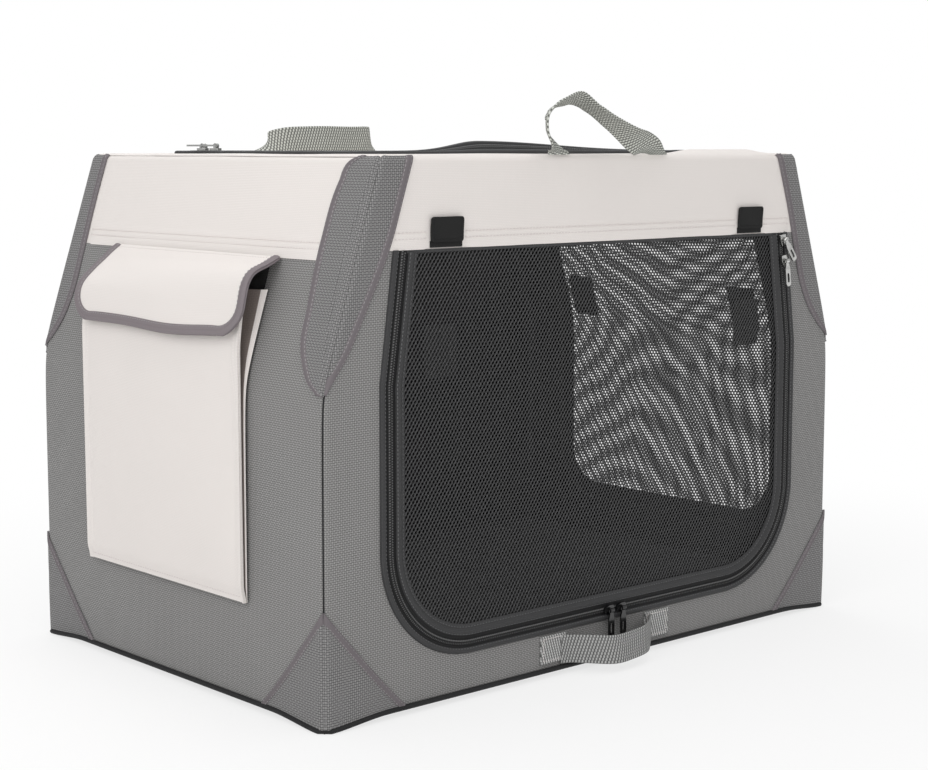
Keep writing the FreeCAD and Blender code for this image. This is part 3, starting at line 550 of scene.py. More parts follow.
def along(door, path, inset):  # the outline drawn in by an inset, and cut level at the top
    at, points, inward = path
    inset = np.atleast_1d(inset)
    across = points[:, :1] + inward[:, :1] * inset
    height = points[:, 1:] + inward[:, 1:] * inset
    return across, np.minimum(height, door["top"] - uShape["topGap"])


def doorHalf(door, height, inset):  # half width of the opening at a height
    radius, sill = door["radius"] - inset, door["sill"] + inset
    slant = (door["topHalf"] - door["sideHalf"]) / (door["top"] - door["sideHeight"])
    straight = door["sideHalf"] - inset + slant * np.maximum(height - door["sideHeight"], 0)
    low = np.clip(sill + radius - height, 0, radius)
    return straight - radius + np.sqrt(np.maximum(radius ** 2 - low ** 2, 0))


# Walls and bands
cloth = {"thickness": 0.0022, "foot": 0.002, "pucker": 0.0004, "puckerLong": 0.16, "puckerFade": 0.03,
         "overlap": 0.008, "ringStep": 0.006, "wallEase": 1.02, "bandEase": 1.08}
bandHem = {"under": 0.001, "proud": 0.0011, "fade": 0.012, "stitchRise": 0.0085, "rowGap": 0.0056,
           "draw": 0.0005, "drawWide": 0.0012, "guardGap": 0.034, "guardFade": 0.012, "strapHalf": 0.021,
           "strapFade": 0.006, "strapClear": 0.022, "stitchEnd": 0.036, "stitchSink": 0.0003}
stitchRows = [bandHem["stitchRise"] + row * bandHem["rowGap"] for row in range(2)]
strapSpots = {"front": 0.209, "right": 0.118}  # the bands lie flat below the straps, with no stitches
legs, topRails = ["front_legs", "rear_legs"], ["top_rails_long", "top_rails_short"]


def cornerShare(at, door):  # where along the outline the lower corner's middle lies
    leg = math.hypot(door["topHalf"] - door["sideHalf"], door["top"] - door["sideHeight"])
    side = door["sideHeight"] - door["sill"] - door["radius"]
    return (leg + side + door["radius"] * math.pi / 4) / at[-1]


def doorwayRing(face, door, low, high, columns):  # from the doorway's edge out to the panel's own outline
    at, inner, inward = uPath(door, cloth["ringStep"])
    inner = inner + inward * cloth["overlap"]
    inner[:, 1] = np.minimum(inner[:, 1], high)
    turn = np.linspace(0, 1, len(at))
    share = [0, cornerShare(at, door), 1 - cornerShare(at, door), 1]
    head, foot = halfWidth(face, high), halfWidth(face, low)
    outer = np.stack([np.interp(turn, share, [-head, -foot, foot, head]),
                      np.interp(turn, share, [high, low, low, high])], -1)
    side = (turn <= share[1]) | (turn >= share[2])
    outer[side, 0] = np.sign(outer[side, 0]) * halfWidth(face, outer[side, 1])
    reach = (1 + edged(columns)) / 2
    return [inner[:, k:k + 1] + (outer - inner)[:, k:k + 1] * reach for k in range(2)]


def plainGrid(face, low, high, rows, columns):  # rows from low to high, each as wide as the face there
    height = (low + high) / 2 + (high - low) / 2 * edged(rows)[:, None]
    return edged(columns)[None, :] * halfWidth(face, height), height + np.zeros((1, columns))


def puckered(face, across, height, seed, out=0.0):  # cloth with low waves that fade at its sewn corners
    wave = ripple(across, height, seed, cloth["puckerLong"])
    if face != "roof":
        wave = wave * smooth((halfWidth(face, height) - np.abs(across)) / cloth["puckerFade"])
    return faces[face](across, height, out + cloth["pucker"] * wave)


def seamGroove(face, across, height):  # cloth dips where two faces are sewn together
    gap = halfWidth(face, height) - np.abs(across)
    return -shell["seamGroove"] * np.exp(-(gap / shell["seamGroove"]) ** 2)


for order, face in enumerate(("front", "rear", "left", "right")):
    seam, half = (frontSeam, halfLength) if face in ("front", "rear") else (endSeam, halfDepth)
    panel = Piece()
    if face in doors:
        across, height = doorwayRing(face, doors[face], cloth["foot"], seam, 15)
    else:
        across, height = plainGrid(face, cloth["foot"], seam, 90, 110)
    points = puckered(face, across, height, order, seamGroove(face, across, height))
    panel.sheet(points, paired(across, height), cloth["thickness"], 0, 1)
    panel.build(face + "Wall", ("grey", "lining"), "shell", "grey_oxford", [face + "_wall"],
                (2 * half, seam * cloth["wallEase"]), restsOn=legs)

    band = Piece()
    across, height = plainGrid(face, seam - bandHem["under"], roofTop, 70, 120)
    rise = height - seam
    gap = halfWidth(face, height) - np.abs(across)
    free = smooth((gap - bandHem["guardGap"]) / bandHem["guardFade"])  # flat below the guards
    if face in strapSpots:
        beside = np.abs(np.abs(across) - strapSpots[face]) - bandHem["strapHalf"]
        free = free * smooth(beside / bandHem["strapFade"])
    out = bandHem["proud"] * (1 - smooth((rise - bandHem["stitchRise"]) / bandHem["fade"])) * free
    for row in stitchRows:  # the sewing draws the cloth in along each row
        out = out - bandHem["draw"] * np.exp(-((rise - row) / bandHem["drawWide"]) ** 2) * free
    points = puckered(face, across, height, order + 7, out + seamGroove(face, across, height))
    band.sheet(points, paired(across, height), cloth["thickness"], 0, 1)
    reach = halfWidth(face, seam) - bandHem["stitchEnd"]
    runs = [(-reach, reach)]
    if face in strapSpots:
        near, far = (strapSpots[face] + way * bandHem["strapClear"] for way in (-1, 1))
        runs = [(-reach, -far), (-near, near), (far, reach)]
    for row in stitchRows:
        for start, finish in runs:
            band.stitches(faces[face], np.linspace(start, finish, 200), seam + row,
                          bandHem["proud"] - bandHem["stitchSink"], 2)
    band.build(face + "Band", ("cream", "lining", "thread"), "shell", "cream_oxford", [face + "_band"],
               (2 * half, (roofTop - seam) * cloth["bandEase"]), restsOn=topRails)

# Roof: the border round the top door, then the plain strip behind its hinge line
roof, topDoor = Piece(), doors["top"]
across, height = doorwayRing("roof", topDoor, -halfDepth, topDoor["top"], 13)
roof.sheet(puckered("roof", across, height, 21), paired(across, height), cloth["thickness"], 0, 1)
across, height = plainGrid("roof", topDoor["top"], halfDepth, 24, 110)
roof.sheet(puckered("roof", across, height, 22), paired(across, height), cloth["thickness"], 0, 1)
roof.build("roofPanel", ("cream", "lining"), "shell", "cream_oxford", ["roof_panel"],
           (2 * halfRoof, 2 * halfDepth), restsOn=topRails)


def footArch(x, y):  # 0 at the lower corners, 1 along the middle of each lower edge
    far = np.maximum(halfLength - np.abs(x), halfDepth - np.abs(y))
    return smooth(far / shell["footRun"])


underside = {"inset": 0.001, "low": 0.0022, "sag": 0.002, "thickness": 0.0014}
base = Piece()
x, y = np.meshgrid(*(edged(count) * (half - underside["inset"])
                     for count, half in ((70, halfLength), (50, halfDepth))))
lift = underside["low"] + (shell["footLift"] - underside["sag"]) * footArch(x, y)
base.sheet(np.stack([x, y, lift], -1), paired(x, y), underside["thickness"])
base.build("baseCloth", ("lining",), "shell", "base_cloth", ["base_cloth"], (2 * halfLength, 2 * halfDepth),
           restsOn=["base_piping"])
print("cover: walls, bands, roof, base")


def sweep(piece, line, sideways, upward, section, closed=False):
    # A closed section carried along a line: each point is the line's plus its shares of the two side ways
    ring = np.concatenate([section, section[:1]])
    points = line[:, None] + sideways[:, None] * ring[None, :, :1] + upward[:, None] * ring[None, :, 1:]
    uv = paired(lengthAlong(line)[:, None], lengthAlong(ring))
    piece.grid(points, uv)
    if not closed:
        for end, flip in ((0, False), (-1, True)):
            cap = np.stack([points[end], np.broadcast_to(points[end].mean(0), points[end].shape)])
            piece.grid(cap, np.stack([uv[end], uv[end]]), 0, flip)


def roundSection(radius, count):  # equal steps round a circle
    turn = np.linspace(0, 2 * math.pi, count, endpoint=False)
    return np.stack([np.cos(turn), np.sin(turn)], -1) * radius


def flatSection(wide, thick, count, square=0.45):  # an oval with its waves raised to a power, nearly a box
    oval = roundSection(1, count)
    return np.sign(oval) * np.abs(oval) ** square * [wide / 2, thick / 2]


piping = {"radius": 0.0024, "proud": 0.0012, "corner": 0.008}
roll, sides = Piece(), []
feet = np.array([(-1, -1), (1, -1), (1, 1), (-1, 1), (-1, -1)]) * [halfLength, halfDepth]
for first, second in zip(feet, feet[1:]):  # each side stops short of its corners
    short = unit(second - first) * piping["corner"]
    sides.append(first + short + (second - first - 2 * short) * np.linspace(0, 1, 90)[:, None])
line = np.concatenate([*sides, sides[0][:1]])
line = np.column_stack([line, piping["radius"] + shell["footLift"] * footArch(*line.T)])
way = np.roll(line[:-1], -1, 0) - np.roll(line[:-1], 1, 0)
way = unit(np.concatenate([way, way[:1]]) * [1, 1, 0])
outward = np.stack([way[:, 1], -way[:, 0], 0 * way[:, 0]], -1)
sweep(roll, line + outward * piping["proud"], outward, np.broadcast_to([0.0, 0, -1], line.shape),
      roundSection(piping["radius"], 12), closed=True)
roll.build("basePiping", ("piping",), "shell", "binding", ["base_piping"])

# Dark cord sunk in the upright seams: painted shade for the shadowed seam line
cornerSeam = {"radius": 0.0010, "out": -0.0012, "foot": 0.010, "head": 0.488}
cord = Piece()
height = np.linspace(cornerSeam["foot"], cornerSeam["head"], 120)
for face in ("front", "rear"):
    for side in (-1, 1):
        line = faces[face](side * halfWidth(face, height), height, cornerSeam["out"])
        sweep(cord, line, np.broadcast_to([1.0, 0, 0], line.shape), np.broadcast_to([0.0, 1, 0], line.shape),
              roundSection(cornerSeam["radius"], 8))
cord.build("cornerSeamShade", ("piping",), "shell", "binding", [])

# Leaf guards over the upper corners and triangular patches over the lower ones, each bound with tape
guard = {"out": 0.0014, "thickness": 0.0014, "valley": 0.0014, "valleyWide": 0.0016, "ridge": 0.0006,
         "ridgeWide": 0.007, "seamBow": 0.014, "tape": 0.0085, "tapeOut": 0.0024, "tapeThick": 0.0012,
         "tapeOver": 0.0008, "tapeDome": 0.0013, "stitchIn": 0.0015, "stitchSink": 0.0005,
         "stitchFrom": 0.002}
leaves = {  # heights and widths of each kind of leaf
    "wide": ((0.296, 0.306, 0.318, 0.334, 0.366, 0.427, 0.476, 0.494, 0.501),
             (0.009, 0.025, 0.035, 0.0445, 0.0485, 0.052, 0.047, 0.039, 0.026)),
    "slim": ((0.297, 0.301, 0.330, 0.355, 0.427, 0.465, 0.501),
             (0.0015, 0.0035, 0.0175, 0.0235, 0.0355, 0.0360, 0.0362)),
    "bowed": ((0.303, 0.312, 0.330, 0.354, 0.399, 0.444, 0.501),
              (0.0015, 0.0110, 0.0235, 0.0310, 0.0315, 0.0295, 0.0300)),
}
leafOf = {("front", -1): "slim", ("front", 1): "bowed", ("left", -1): "bowed"}  # the others are wide
patch = {"foot": 0.004, "rise": 0.104, "leg": 0.092, "tip": 0.004}


def leafWidth(kind):  # a curve through the leaf's widths at its heights
    def widthAt(height):
        return curveThrough(height, *leaves[kind])

    return widthAt


def patchWidth(height):  # a triangle: widest at its foot, with a blunt tip
    return patch["leg"] * np.clip(1 - (height - patch["foot"]) / patch["rise"], patch["tip"], 1)


def cornerCloth(piece, face, side, low, high, widthAt, rows, columns, seamBow=0.0):
    # One face of a corner piece: from the shell's corner in to its bound edge, with the sewn line as a valley
    height = np.linspace(low, high, rows)[:, None]
    gap = widthAt(height) * np.linspace(0, 1, columns)[None, :]
    across = side * (halfWidth(face, height) - gap)
    height = height + 0 * across
    seam = gap - seamBow * np.sin(math.pi * np.clip((height - low) / (high - low), 0, 1))
    groove = (guard["valley"] * np.exp(-(seam / guard["valleyWide"]) ** 2)
              - guard["ridge"] * np.exp(-(seam / guard["ridgeWide"]) ** 2))
    points = faces[face](across, height, guard["out"] - groove)
    piece.sheet(points, paired(across, height), guard["thickness"], 0, flip=side > 0)
    edge = np.linspace(low, high, rows * 2)
    width = widthAt(edge)
    inner = np.clip(guard["tape"] / np.maximum(width, 1e-6), 0, 1)[:, None]
    strip = np.linspace(0, 1, 7)[None, :]
    gap = width[:, None] * (1 - inner * (1 - strip)) + guard["tapeOver"] * strip
    dome = guard["tapeOut"] - guard["tapeDome"] * np.abs(2 * strip - 1) ** 4
    across = side * (halfWidth(face, edge[:, None]) - gap)
    length = lengthAlong(np.stack([edge, width], -1))[:, None]
    piece.sheet(faces[face](across, edge[:, None], dome), paired(length, strip * guard["tape"] - tapeRow / 2),
                guard["tapeThick"], 1, flip=side > 0)
    keep = width > guard["tape"] + guard["stitchFrom"]
    for depth in (guard["stitchIn"], guard["tape"] - guard["stitchIn"]):
        line = side * (halfWidth(face, edge) - width + depth)
        piece.stitches(faces[face], line[keep], edge[keep], guard["tapeOut"] - guard["stitchSink"], 2)


guards, patches = Piece(), Piece()
for face in ("front", "rear", "left", "right"):
    for side in (-1, 1):
        kind = leafOf.get((face, side), "wide")
        cornerCloth(guards, face, side, leaves[kind][0][0], roofTop, leafWidth(kind), 70, 36,
                    guard["seamBow"] if kind == "wide" else 0.0)
        cornerCloth(patches, face, side, patch["foot"], patch["foot"] + patch["rise"], patchWidth, 40, 20)
guardLooks = ("guard", "guardTape", "greyThread")
guards.build("cornerGuards", guardLooks, "shell", "guard_cloth", ["corner_guards"])
patches.build("baseCornerPatches", guardLooks, "shell", "guard_cloth", ["base_corner_patches"])
print("edging: guards, patches, piping")

# Zips: bound tape and ribbed coil on the shell, a second bound tape and the net on the door
zipCut = {
    "step": 0.0030, "tapeThick": 0.0007, "stitchPitch": 0.0036, "stitchLong": 0.0027,
    "coilPitch": 0.0024, "coilInset": 0.011, "coilWide": 0.0060, "coilHigh": 0.0028, "coilFoot": 0.0006,
    "coilRib": 0.4, "coilSkew": 0.25, "coilDip": 0.35, "coilDipWide": 0.12,
    "hingeInset": 0.0145, "hingeGap": 0.0008, "hingeDeep": 0.0030, "hingeOut": 0.0009, "hingeDome": 0.0004,
    "hingeThick": 0.0009,
    # Sections of the tapes, then rows of stitches: the way in from the outline, and out off the cloth
    "shellRidge": [(-0.0004, 0.0002), (0.0000, 0.0013), (0.0008, 0.0024), (0.0028, 0.0029), (0.0048, 0.0024),
                   (0.0056, 0.0013), (0.0058, 0.0006)],
    "shellFlat": [(0.0056, 0.0008), (0.0070, 0.0008), (0.0090, 0.0008)],
    "doorFlat": [(0.0128, 0.0008), (0.0150, 0.0008), (0.0176, 0.0008)],
    "doorRidge": [(0.0172, 0.0006), (0.0174, 0.0015), (0.0182, 0.0026), (0.0205, 0.0031), (0.0226, 0.0025),
                  (0.0236, 0.0014), (0.0262, 0.0012), (0.0280, 0.0003)],
    "shellStitches": [(0.0047, 0.0022)],
    "doorStitches": [(0.0184, 0.0025), (0.0252, 0.0011)],
}


def zipFor(name, door):
    # Each tape's section is carried along the doorway's outline, drawn in by the section's own insets
    place = faces[door["face"]]
    shellTape, doorTape = Piece(), Piece()
    path = uPath(door, zipCut["step"])
    for piece, key, slot in ((shellTape, "shellRidge", 0), (shellTape, "shellFlat", 3),
                             (doorTape, "doorFlat", 2), (doorTape, "doorRidge", 0)):
        inset, out = np.array(zipCut[key]).T
        points = place(*along(door, path, inset), out)
        piece.sheet(points, paired(path[0][:, None], inset), zipCut["tapeThick"], slot, flip=True)
    for piece, key in ((shellTape, "shellStitches"), (doorTape, "doorStitches")):
        for inset, out in zipCut[key]:
            across, height = along(door, path, inset)
            piece.stitches(place, across[:, 0], height[:, 0], out, 1, zipCut["stitchPitch"],
                           zipCut["stitchLong"])
    fine = uPath(door, zipCut["coilPitch"] / 4)  # the coil: a dome across, with a rib at each pitch
    turns = fine[0][:, None] / zipCut["coilPitch"]
    share = np.linspace(-1, 1, 9)[None, :]
    across, height = along(door, fine, zipCut["coilInset"] + share[0] * zipCut["coilWide"] / 2)
    rib = 0.5 + 0.5 * np.cos(2 * math.pi * (turns + zipCut["coilSkew"] * share ** 2))
    dip = zipCut["coilDip"] * np.exp(-(share / zipCut["coilDipWide"]) ** 2)
    dome = np.sqrt(np.maximum(1 - share ** 2, 0)) * (1 - dip) * (1 - zipCut["coilRib"] * (1 - rib))
    out = zipCut["coilFoot"] + (zipCut["coilHigh"] - zipCut["coilFoot"]) * dome
    shellTape.grid(place(across, height, out), paired(turns, share), 2, flip=True)
    shellTape.build(name + "ZipTape", ("zip", "blackThread", "coil", "zipFlat"), "shell", "zip_tape",
                    [name + "_zip_tape"])
    if name != "top":
        hinge = np.linspace(-1, 1, 160)[:, None] * doorHalf(door, door["top"], zipCut["hingeInset"])
        strip = np.linspace(0, 1, 7)[None, :]
        height = door["top"] - zipCut["hingeGap"] - zipCut["hingeDeep"] * strip
        points = place(hinge, height, zipCut["hingeOut"] + zipCut["hingeDome"] * np.sin(math.pi * strip))
        doorTape.sheet(points, paired(hinge, height), zipCut["hingeThick"], 0)
    doorTape.build(name + "DoorTape", ("zip", "blackThread", "zipFlat"), name + "_door", "zip_tape",
                   [name + "_door_tape"])


netCut = {"inset": 0.022, "topGap": 0.0008, "out": -0.0004, "slackWave": 0.5, "slackLong": 0.3}
nets = {  # columns, slack, seed and nodes
    "front": (90, 0.004, 31, ["front_door_mesh"]),
    "right": (70, 0.004, 32, ["right_door_mesh_lower", "right_door_mesh_upper"]),
    "top": (80, 0.003, 33, ["top_door_mesh"]),
}


def netFor(name, door, columns, sag, seed, nodes):
    # Half width times share, row by row up the door; slack sinks in between the tapes
    low, high = door["sill"] + netCut["inset"], door["top"] - netCut["topGap"]
    height = low + (high - low) * (1 + edged(60)[:, None]) / 2
    share = edged(columns)[None, :]
    across = share * doorHalf(door, height, netCut["inset"])
    height = height + 0 * across
    slack = (1 - share ** 2) * np.sin(math.pi * (height - low) / (high - low))
    slack = slack * (1 + netCut["slackWave"] * ripple(across, height, seed, netCut["slackLong"]))
    points = faces[door["face"]](across, height, netCut["out"] - sag * slack)
    net = Piece()
    net.grid(points, paired(across, height))
    net.area = gridArea(points)
    net.build(name + "DoorNet", ("net",), name + "_door", "mesh", nodes,
              (2 * door["sideHalf"], door["top"] - door["sill"]), restsOn=[name + "_door_tape"])


for name, door in doors.items():
    zipFor(name, door)
for name, settings in nets.items():
    netFor(name, doors[name], *settings)
print("doors: zips and nets")

# Hook-and-loop: straps with flat sewn roots on the bands, and the patches that they close on
hookLoop = {"wide": 0.038, "round": 0.0030, "stitchIn": 0.0028, "stitchPitch": 0.003, "stitchLong": 0.0022}
strapTab = {"foot": 0.0048, "long": 0.0225, "thick": 0.0016, "out": 0.0028, "curl": 0.0010,
            "looks": ("loop", "loop")}
strapRoot = {"foot": 0.0002, "long": 0.0060, "thick": 0.0006, "out": 0.0008, "round": 0.0004}
netPatch = {"long": 0.048, "thick": -0.0014, "out": -0.0050, "curl": 0.0, "looks": ("pile", "blackThread")}
patchSpots = {"front": (0.212, 0.301), "right": (0.126, 0.303)}  # the way from the middle, and the foot
straps = {"front_strap_left": ("front", -1), "front_strap_right": ("front", 1),
          "end_strap_front": ("right", -1), "end_strap_rear": ("right", 1)}


def roundedTab(wide, long, radius, rows=26, columns=26):
    # Rows up the tab, each as wide as its rounded corners leave
    up = (1 + edged(rows)[:, None]) / 2 * long
    near = np.minimum(up, long - up)
    cut = radius - np.sqrt(np.maximum(radius ** 2 - np.clip(radius - near, 0, radius) ** 2, 0))
    return edged(columns)[None, :] * (wide / 2 - cut), up + np.zeros((1, columns))


def tab(name, face, spots, foot, kind, body, nodes):
    # Rounded tabs with a row of stitches up each side and across the foot
    piece, place, long, inset = Piece(), faces[face], kind["long"], hookLoop["stitchIn"]
    line, half = np.linspace(0, 1, 30), hookLoop["wide"] / 2 - hookLoop["stitchIn"]
    for spot in spots:
        across, up = roundedTab(hookLoop["wide"], long, hookLoop["round"])
        points = place(spot + across, foot + up, kind["out"] + kind["curl"] * smooth(up / long) ** 2)
        piece.sheet(points, paired(across, up), kind["thick"], 0)
        rows = [(spot + side * half, foot + inset + (long - 2 * inset) * line, kind["curl"] * line ** 4)
                for side in (-1, 1)]
        rows.append((spot + 2 * half * (line - 0.5), foot + inset, 0.0))
        for across, up, lift in rows:
            piece.stitches(place, across, up, kind["out"] + lift, 1, hookLoop["stitchPitch"],
                           hookLoop["stitchLong"])
    piece.build(name, kind["looks"], body, "hook_loop", nodes)


for name, (face, side) in straps.items():
    foot = doors[face]["top"] + strapTab["foot"]
    tab(name.replace("_", "-"), face, [side * strapSpots[face]], foot, strapTab, name, [name])
for face, spot in strapSpots.items():
    roots = Piece()
    foot = doors[face]["top"] + strapRoot["foot"]
    across, up = roundedTab(hookLoop["wide"], strapRoot["long"], strapRoot["round"], 8, 26)
    for side in (-1, 1):
        points = faces[face](side * spot + across, foot + up, strapRoot["out"])
        roots.sheet(points, paired(across, up), strapRoot["thick"])
    roots.build(face + "StrapRoots", ("loop",), "shell", "hook_loop", [])
for name, (spot, foot) in patchSpots.items():
    tab(name + "DoorPatches", name, [-spot, spot], foot, netPatch, name + "_door", [name + "_door_patches"])

# Pocket on the left end: a plumb front with folded gussets back to the leaning wall
pocket = {"face": -0.3565, "footIn": 0.0025, "footRise": 0.016, "mouthLean": 0.0045, "mouthFrom": 0.325,
          "mouthRise": 0.05, "belly": 0.004, "bellyAcross": 0.7, "bellyUp": 0.8, "crease": 0.0012,
          "creaseLong": 0.11, "creaseAcross": 12, "creaseUp": 8, "thickness": 0.0016,
          "wallGap": 0.0015, "gusset": 0.045, "fold": 0.034, "foldFade": 0.014, "paintedShadeColumns": (2, 9),
          "stitchIn": 0.004, "footStitch": 0.005, "hem": 0.012}
pocketLow, pocketHigh = boxCorners("pocket")
pocketLeft, pocketRight = -pocketHigh[1], -pocketLow[1]  # across runs to the right seen from outside
pocketFoot, pocketMouth = pocketLow[2], pocketHigh[2]
pocketWide, pocketTall = pocketRight - pocketLeft, pocketMouth - pocketFoot


def pocketFace(height):  # x of the plain front: drawn in at its foot and leaning in at its mouth
    drawn = pocket["footIn"] * (1 - smooth((height - pocketFoot) / pocket["footRise"]))
    above = smooth((height - pocket["mouthFrom"]) / pocket["mouthRise"])
    return pocket["face"] + drawn + pocket["mouthLean"] * above


def onPocket(across, height, out=0.0):  # the front with its belly and soft creases
    across, height, out = np.broadcast_arrays(across, height, np.asarray(out, float))
    s, t = (across - pocketLeft) / pocketWide, (height - pocketFoot) / pocketTall
    belly = np.sin(math.pi * np.clip(s, 0, 1)) ** pocket["bellyAcross"]
    belly = belly * np.sin(math.pi * np.clip(t, 0, 1)) ** pocket["bellyUp"]
    crease = ripple(across, height, 41, pocket["creaseLong"])
    crease = crease * smooth(np.minimum(s, 1 - s) * pocket["creaseAcross"]) * smooth(t * pocket["creaseUp"])
    x = pocketFace(height) - pocket["belly"] * belly - pocket["crease"] * crease - out
    return np.stack([x, -across, height], -1)


rows, turns, span = 70, 12, 70
height = pocketFoot + pocketTall * (1 + edged(rows)[:, None]) / 2
wallX, frontX = -endReach(height) - pocket["wallGap"], pocketFace(height)
share = (1 + edged(span)[None, :]) / 2
gusset = np.linspace(0, 1, turns)[None, :]
gussetX = wallX + (frontX - wallX) * gusset
tuck = pocket["fold"] * np.sin(math.pi * gusset ** 2) * smooth((wallX - frontX) / pocket["foldFade"])
middle = pocketLeft + pocketWide * share + 0 * height
across = np.concatenate([pocketLeft + tuck, middle, pocketRight - tuck[:, ::-1]], 1)
x = np.concatenate([gussetX, onPocket(middle, height)[..., 0], gussetX[:, ::-1]], 1)
run = np.concatenate([(gusset - 1) * pocket["gusset"], share * pocketWide,
                      pocketWide + gusset * pocket["gusset"]], 1)
bag = Piece()
bag.sheet(paired(x, -across, height), paired(run, height), pocket["thickness"], 0, 0)
outside = bag.slots[0].reshape(rows - 1, -1)  # the depth of both folds gets a darker cloth: painted shade for the deep folds
first, last = pocket["paintedShadeColumns"]
outside[:, first:last] = 2
outside[:, -last:-first] = 2
line, inset = np.linspace(0, 1, 200), pocket["stitchIn"]
for edge in (pocketLeft + inset, pocketRight - inset):
    bag.stitches(onPocket, edge, pocketFoot + inset + (pocketTall - 2 * inset) * line, 0.0, 1)
for row in (pocketFoot + pocket["footStitch"], pocketMouth - pocket["hem"]):
    bag.stitches(onPocket, pocketLeft + inset + (pocketWide - 2 * inset) * line, row, 0.0, 1)
bag.build("pocketBag", ("cream", "thread", "gusset"), "shell", "cream_oxford", ["pocket"],
          (pocketWide + 2 * pocket["gusset"], pocketTall), "hung", ["leftWall"])

mouthShadeSheet = {"foot": 0.318, "headGap": 0.0012, "leftIn": 0.010, "rightIn": 0.009, "out": 0.0011,
               "thickness": 0.0006}  # dark sheet on the wall behind the pocket's mouth: painted shade for the deep shadow inside it
back = Piece()
height = np.linspace(mouthShadeSheet["foot"], endSeam - mouthShadeSheet["headGap"], 30)[:, None]
across = np.linspace(pocketLeft + mouthShadeSheet["leftIn"], pocketRight - mouthShadeSheet["rightIn"], 60)[None, :]
points = faces["left"](across, height, mouthShadeSheet["out"])
back.sheet(points, paired(across, height), mouthShadeSheet["thickness"])
back.build("pocketMouthShade", ("lining",), "shell", "cream_oxford", [])

# Flap: an arc over the pocket's mouth, bound along its free edges
flap = {
    "corner": 0.030, "slant": 0.003, "sideDown": 0.03, "nearOver": 0.006, "thickness": 0.0018, "out": 0.0009,
    "inset": 0.001, "stitchEnd": 0.012, "stitchDown": 0.004, "wave": 0.0022, "waveFrom": 0.3,
    "waveLong": 0.17, "waveSkew": 0.3, "swing": 0.5, "swingTurn": 21, "swingStart": 0.6, "droop": 0.0045,
    "droopAt": 0.62, "droopWide": 0.22,
    # x and z down its two ends: the far one slopes straight down, the near one stands out before it drops
    "farLine": [(-0.3150, 0.4098), (-0.3245, 0.4025), (-0.3335, 0.3945), (-0.3545, 0.3765),
                (-0.3610, 0.3640), (-0.3640, 0.3500), (-0.3655, 0.3385)],
    "nearLine": [(-0.3152, 0.4086), (-0.3295, 0.4025), (-0.3450, 0.3968), (-0.3528, 0.3870),
                 (-0.3570, 0.3720), (-0.3600, 0.3570), (-0.3660, 0.3410)],
}
binding = {"wide": 0.0095, "step": 0.003, "stitchIn": 0.0016, "stitchOut": 0.0019,
           "section": [(0.0, 0.0), (-0.0009, 0.0010), (0.0004, 0.0021), (0.0030, 0.0024), (0.0070, 0.0023),
                       (0.0095, 0.0010)]}  # the way in from the edge, and out off the flap
flapLow, flapHigh = boxCorners("flap_binding")
flapLeft, flapRight = -flapHigh[1], -flapLow[1] + flap["nearOver"]
flapMiddle, flapHalf = (flapLeft + flapRight) / 2, (flapRight - flapLeft) / 2
profiles, flapLength = [], 0
for key in ("farLine", "nearLine"):
    knots = flap[key]
    line = curveThrough(np.linspace(0, len(knots) - 1, 300), np.arange(len(knots)), knots)
    run = lengthAlong(line)
    profiles.append([np.interp(np.linspace(0, run[-1], 300), run, line[:, k]) for k in range(2)])
    flapLength = flapLength + run[-1] / 2
flapRun = np.linspace(0, flapLength, 300)


def onFlap(across, height, out=0.0, probe=0.002):
    # Height is minus the way down the flap from its hem: the two end lines, mixed by the share of the width
    across, down, out = np.broadcast_arrays(across, -np.asarray(height, float), np.asarray(out, float))
    share = np.clip((across / flapHalf + 1) / 2, 0, 1)

    def lineAt(way, k):
        far, near = (np.interp(way, flapRun, profile[k]) for profile in profiles)
        return (1 - share) * far + share * near

    ahead = [lineAt(down + probe, k) - lineAt(down - probe, k) for k in range(2)]
    size = np.hypot(*ahead)
    free = smooth(down / flapLength * (1 + flap["waveFrom"]) - flap["waveFrom"])
    wave = (ripple(across, down * flap["waveSkew"], 52, flap["waveLong"])
            + flap["swing"] * np.sin(across * flap["swingTurn"] + flap["swingStart"]))
    out = out + flap["wave"] * free * wave
    droop = flap["droop"] * free * np.exp(-((share - flap["droopAt"]) / flap["droopWide"]) ** 2)
    x, z = lineAt(down, 0) + out * ahead[1] / size, lineAt(down, 1) - out * ahead[0] / size
    return np.stack([x, -(across + flapMiddle), z - droop], -1)


flapShape = dict(topHalf=flapHalf - flap["slant"], sideHalf=flapHalf, sideHeight=-flap["sideDown"],
                 sill=-flapLength, radius=flap["corner"], top=0.0)
lid = Piece()
height = -flapLength + flapLength * (1 + edged(60)[:, None]) / 2
across = edged(90)[None, :] * doorHalf(flapShape, height, flap["inset"])
lid.sheet(onFlap(across, height, flap["out"]), paired(across, height), flap["thickness"], 0, 1)
line = np.linspace(-1, 1, 160) * (flapHalf - flap["stitchEnd"])
lid.stitches(onFlap, line, -flap["stitchDown"], flap["out"], 2)
lid.build("pocketFlap", ("cream", "cream", "thread"), "pocket_flap", "cream_oxford", ["pocket_flap"],
          (2 * flapHalf, flapLength), "hung", ["leftBand"])
bound = Piece()
path = uPath(flapShape, binding["step"])
inset, rise = np.array(binding["section"]).T
across, height = along(flapShape, path, inset)
tapeUv = paired(path[0][:, None], inset - tapeRow / 2)
for side in (1, -1):  # the tape is folded round the edge, so it shows on both faces
    bound.grid(onFlap(across, height, rise * side), tapeUv, 0, side > 0)
across, height = along(flapShape, path, binding["wide"] - binding["stitchIn"])
bound.stitches(onFlap, across[:, 0], height[:, 0], binding["stitchOut"], 1)
bound.build("flapBinding", ("tape", "greyThread"), "pocket_flap", "binding", ["flap_binding"])
print("pocket and flap")

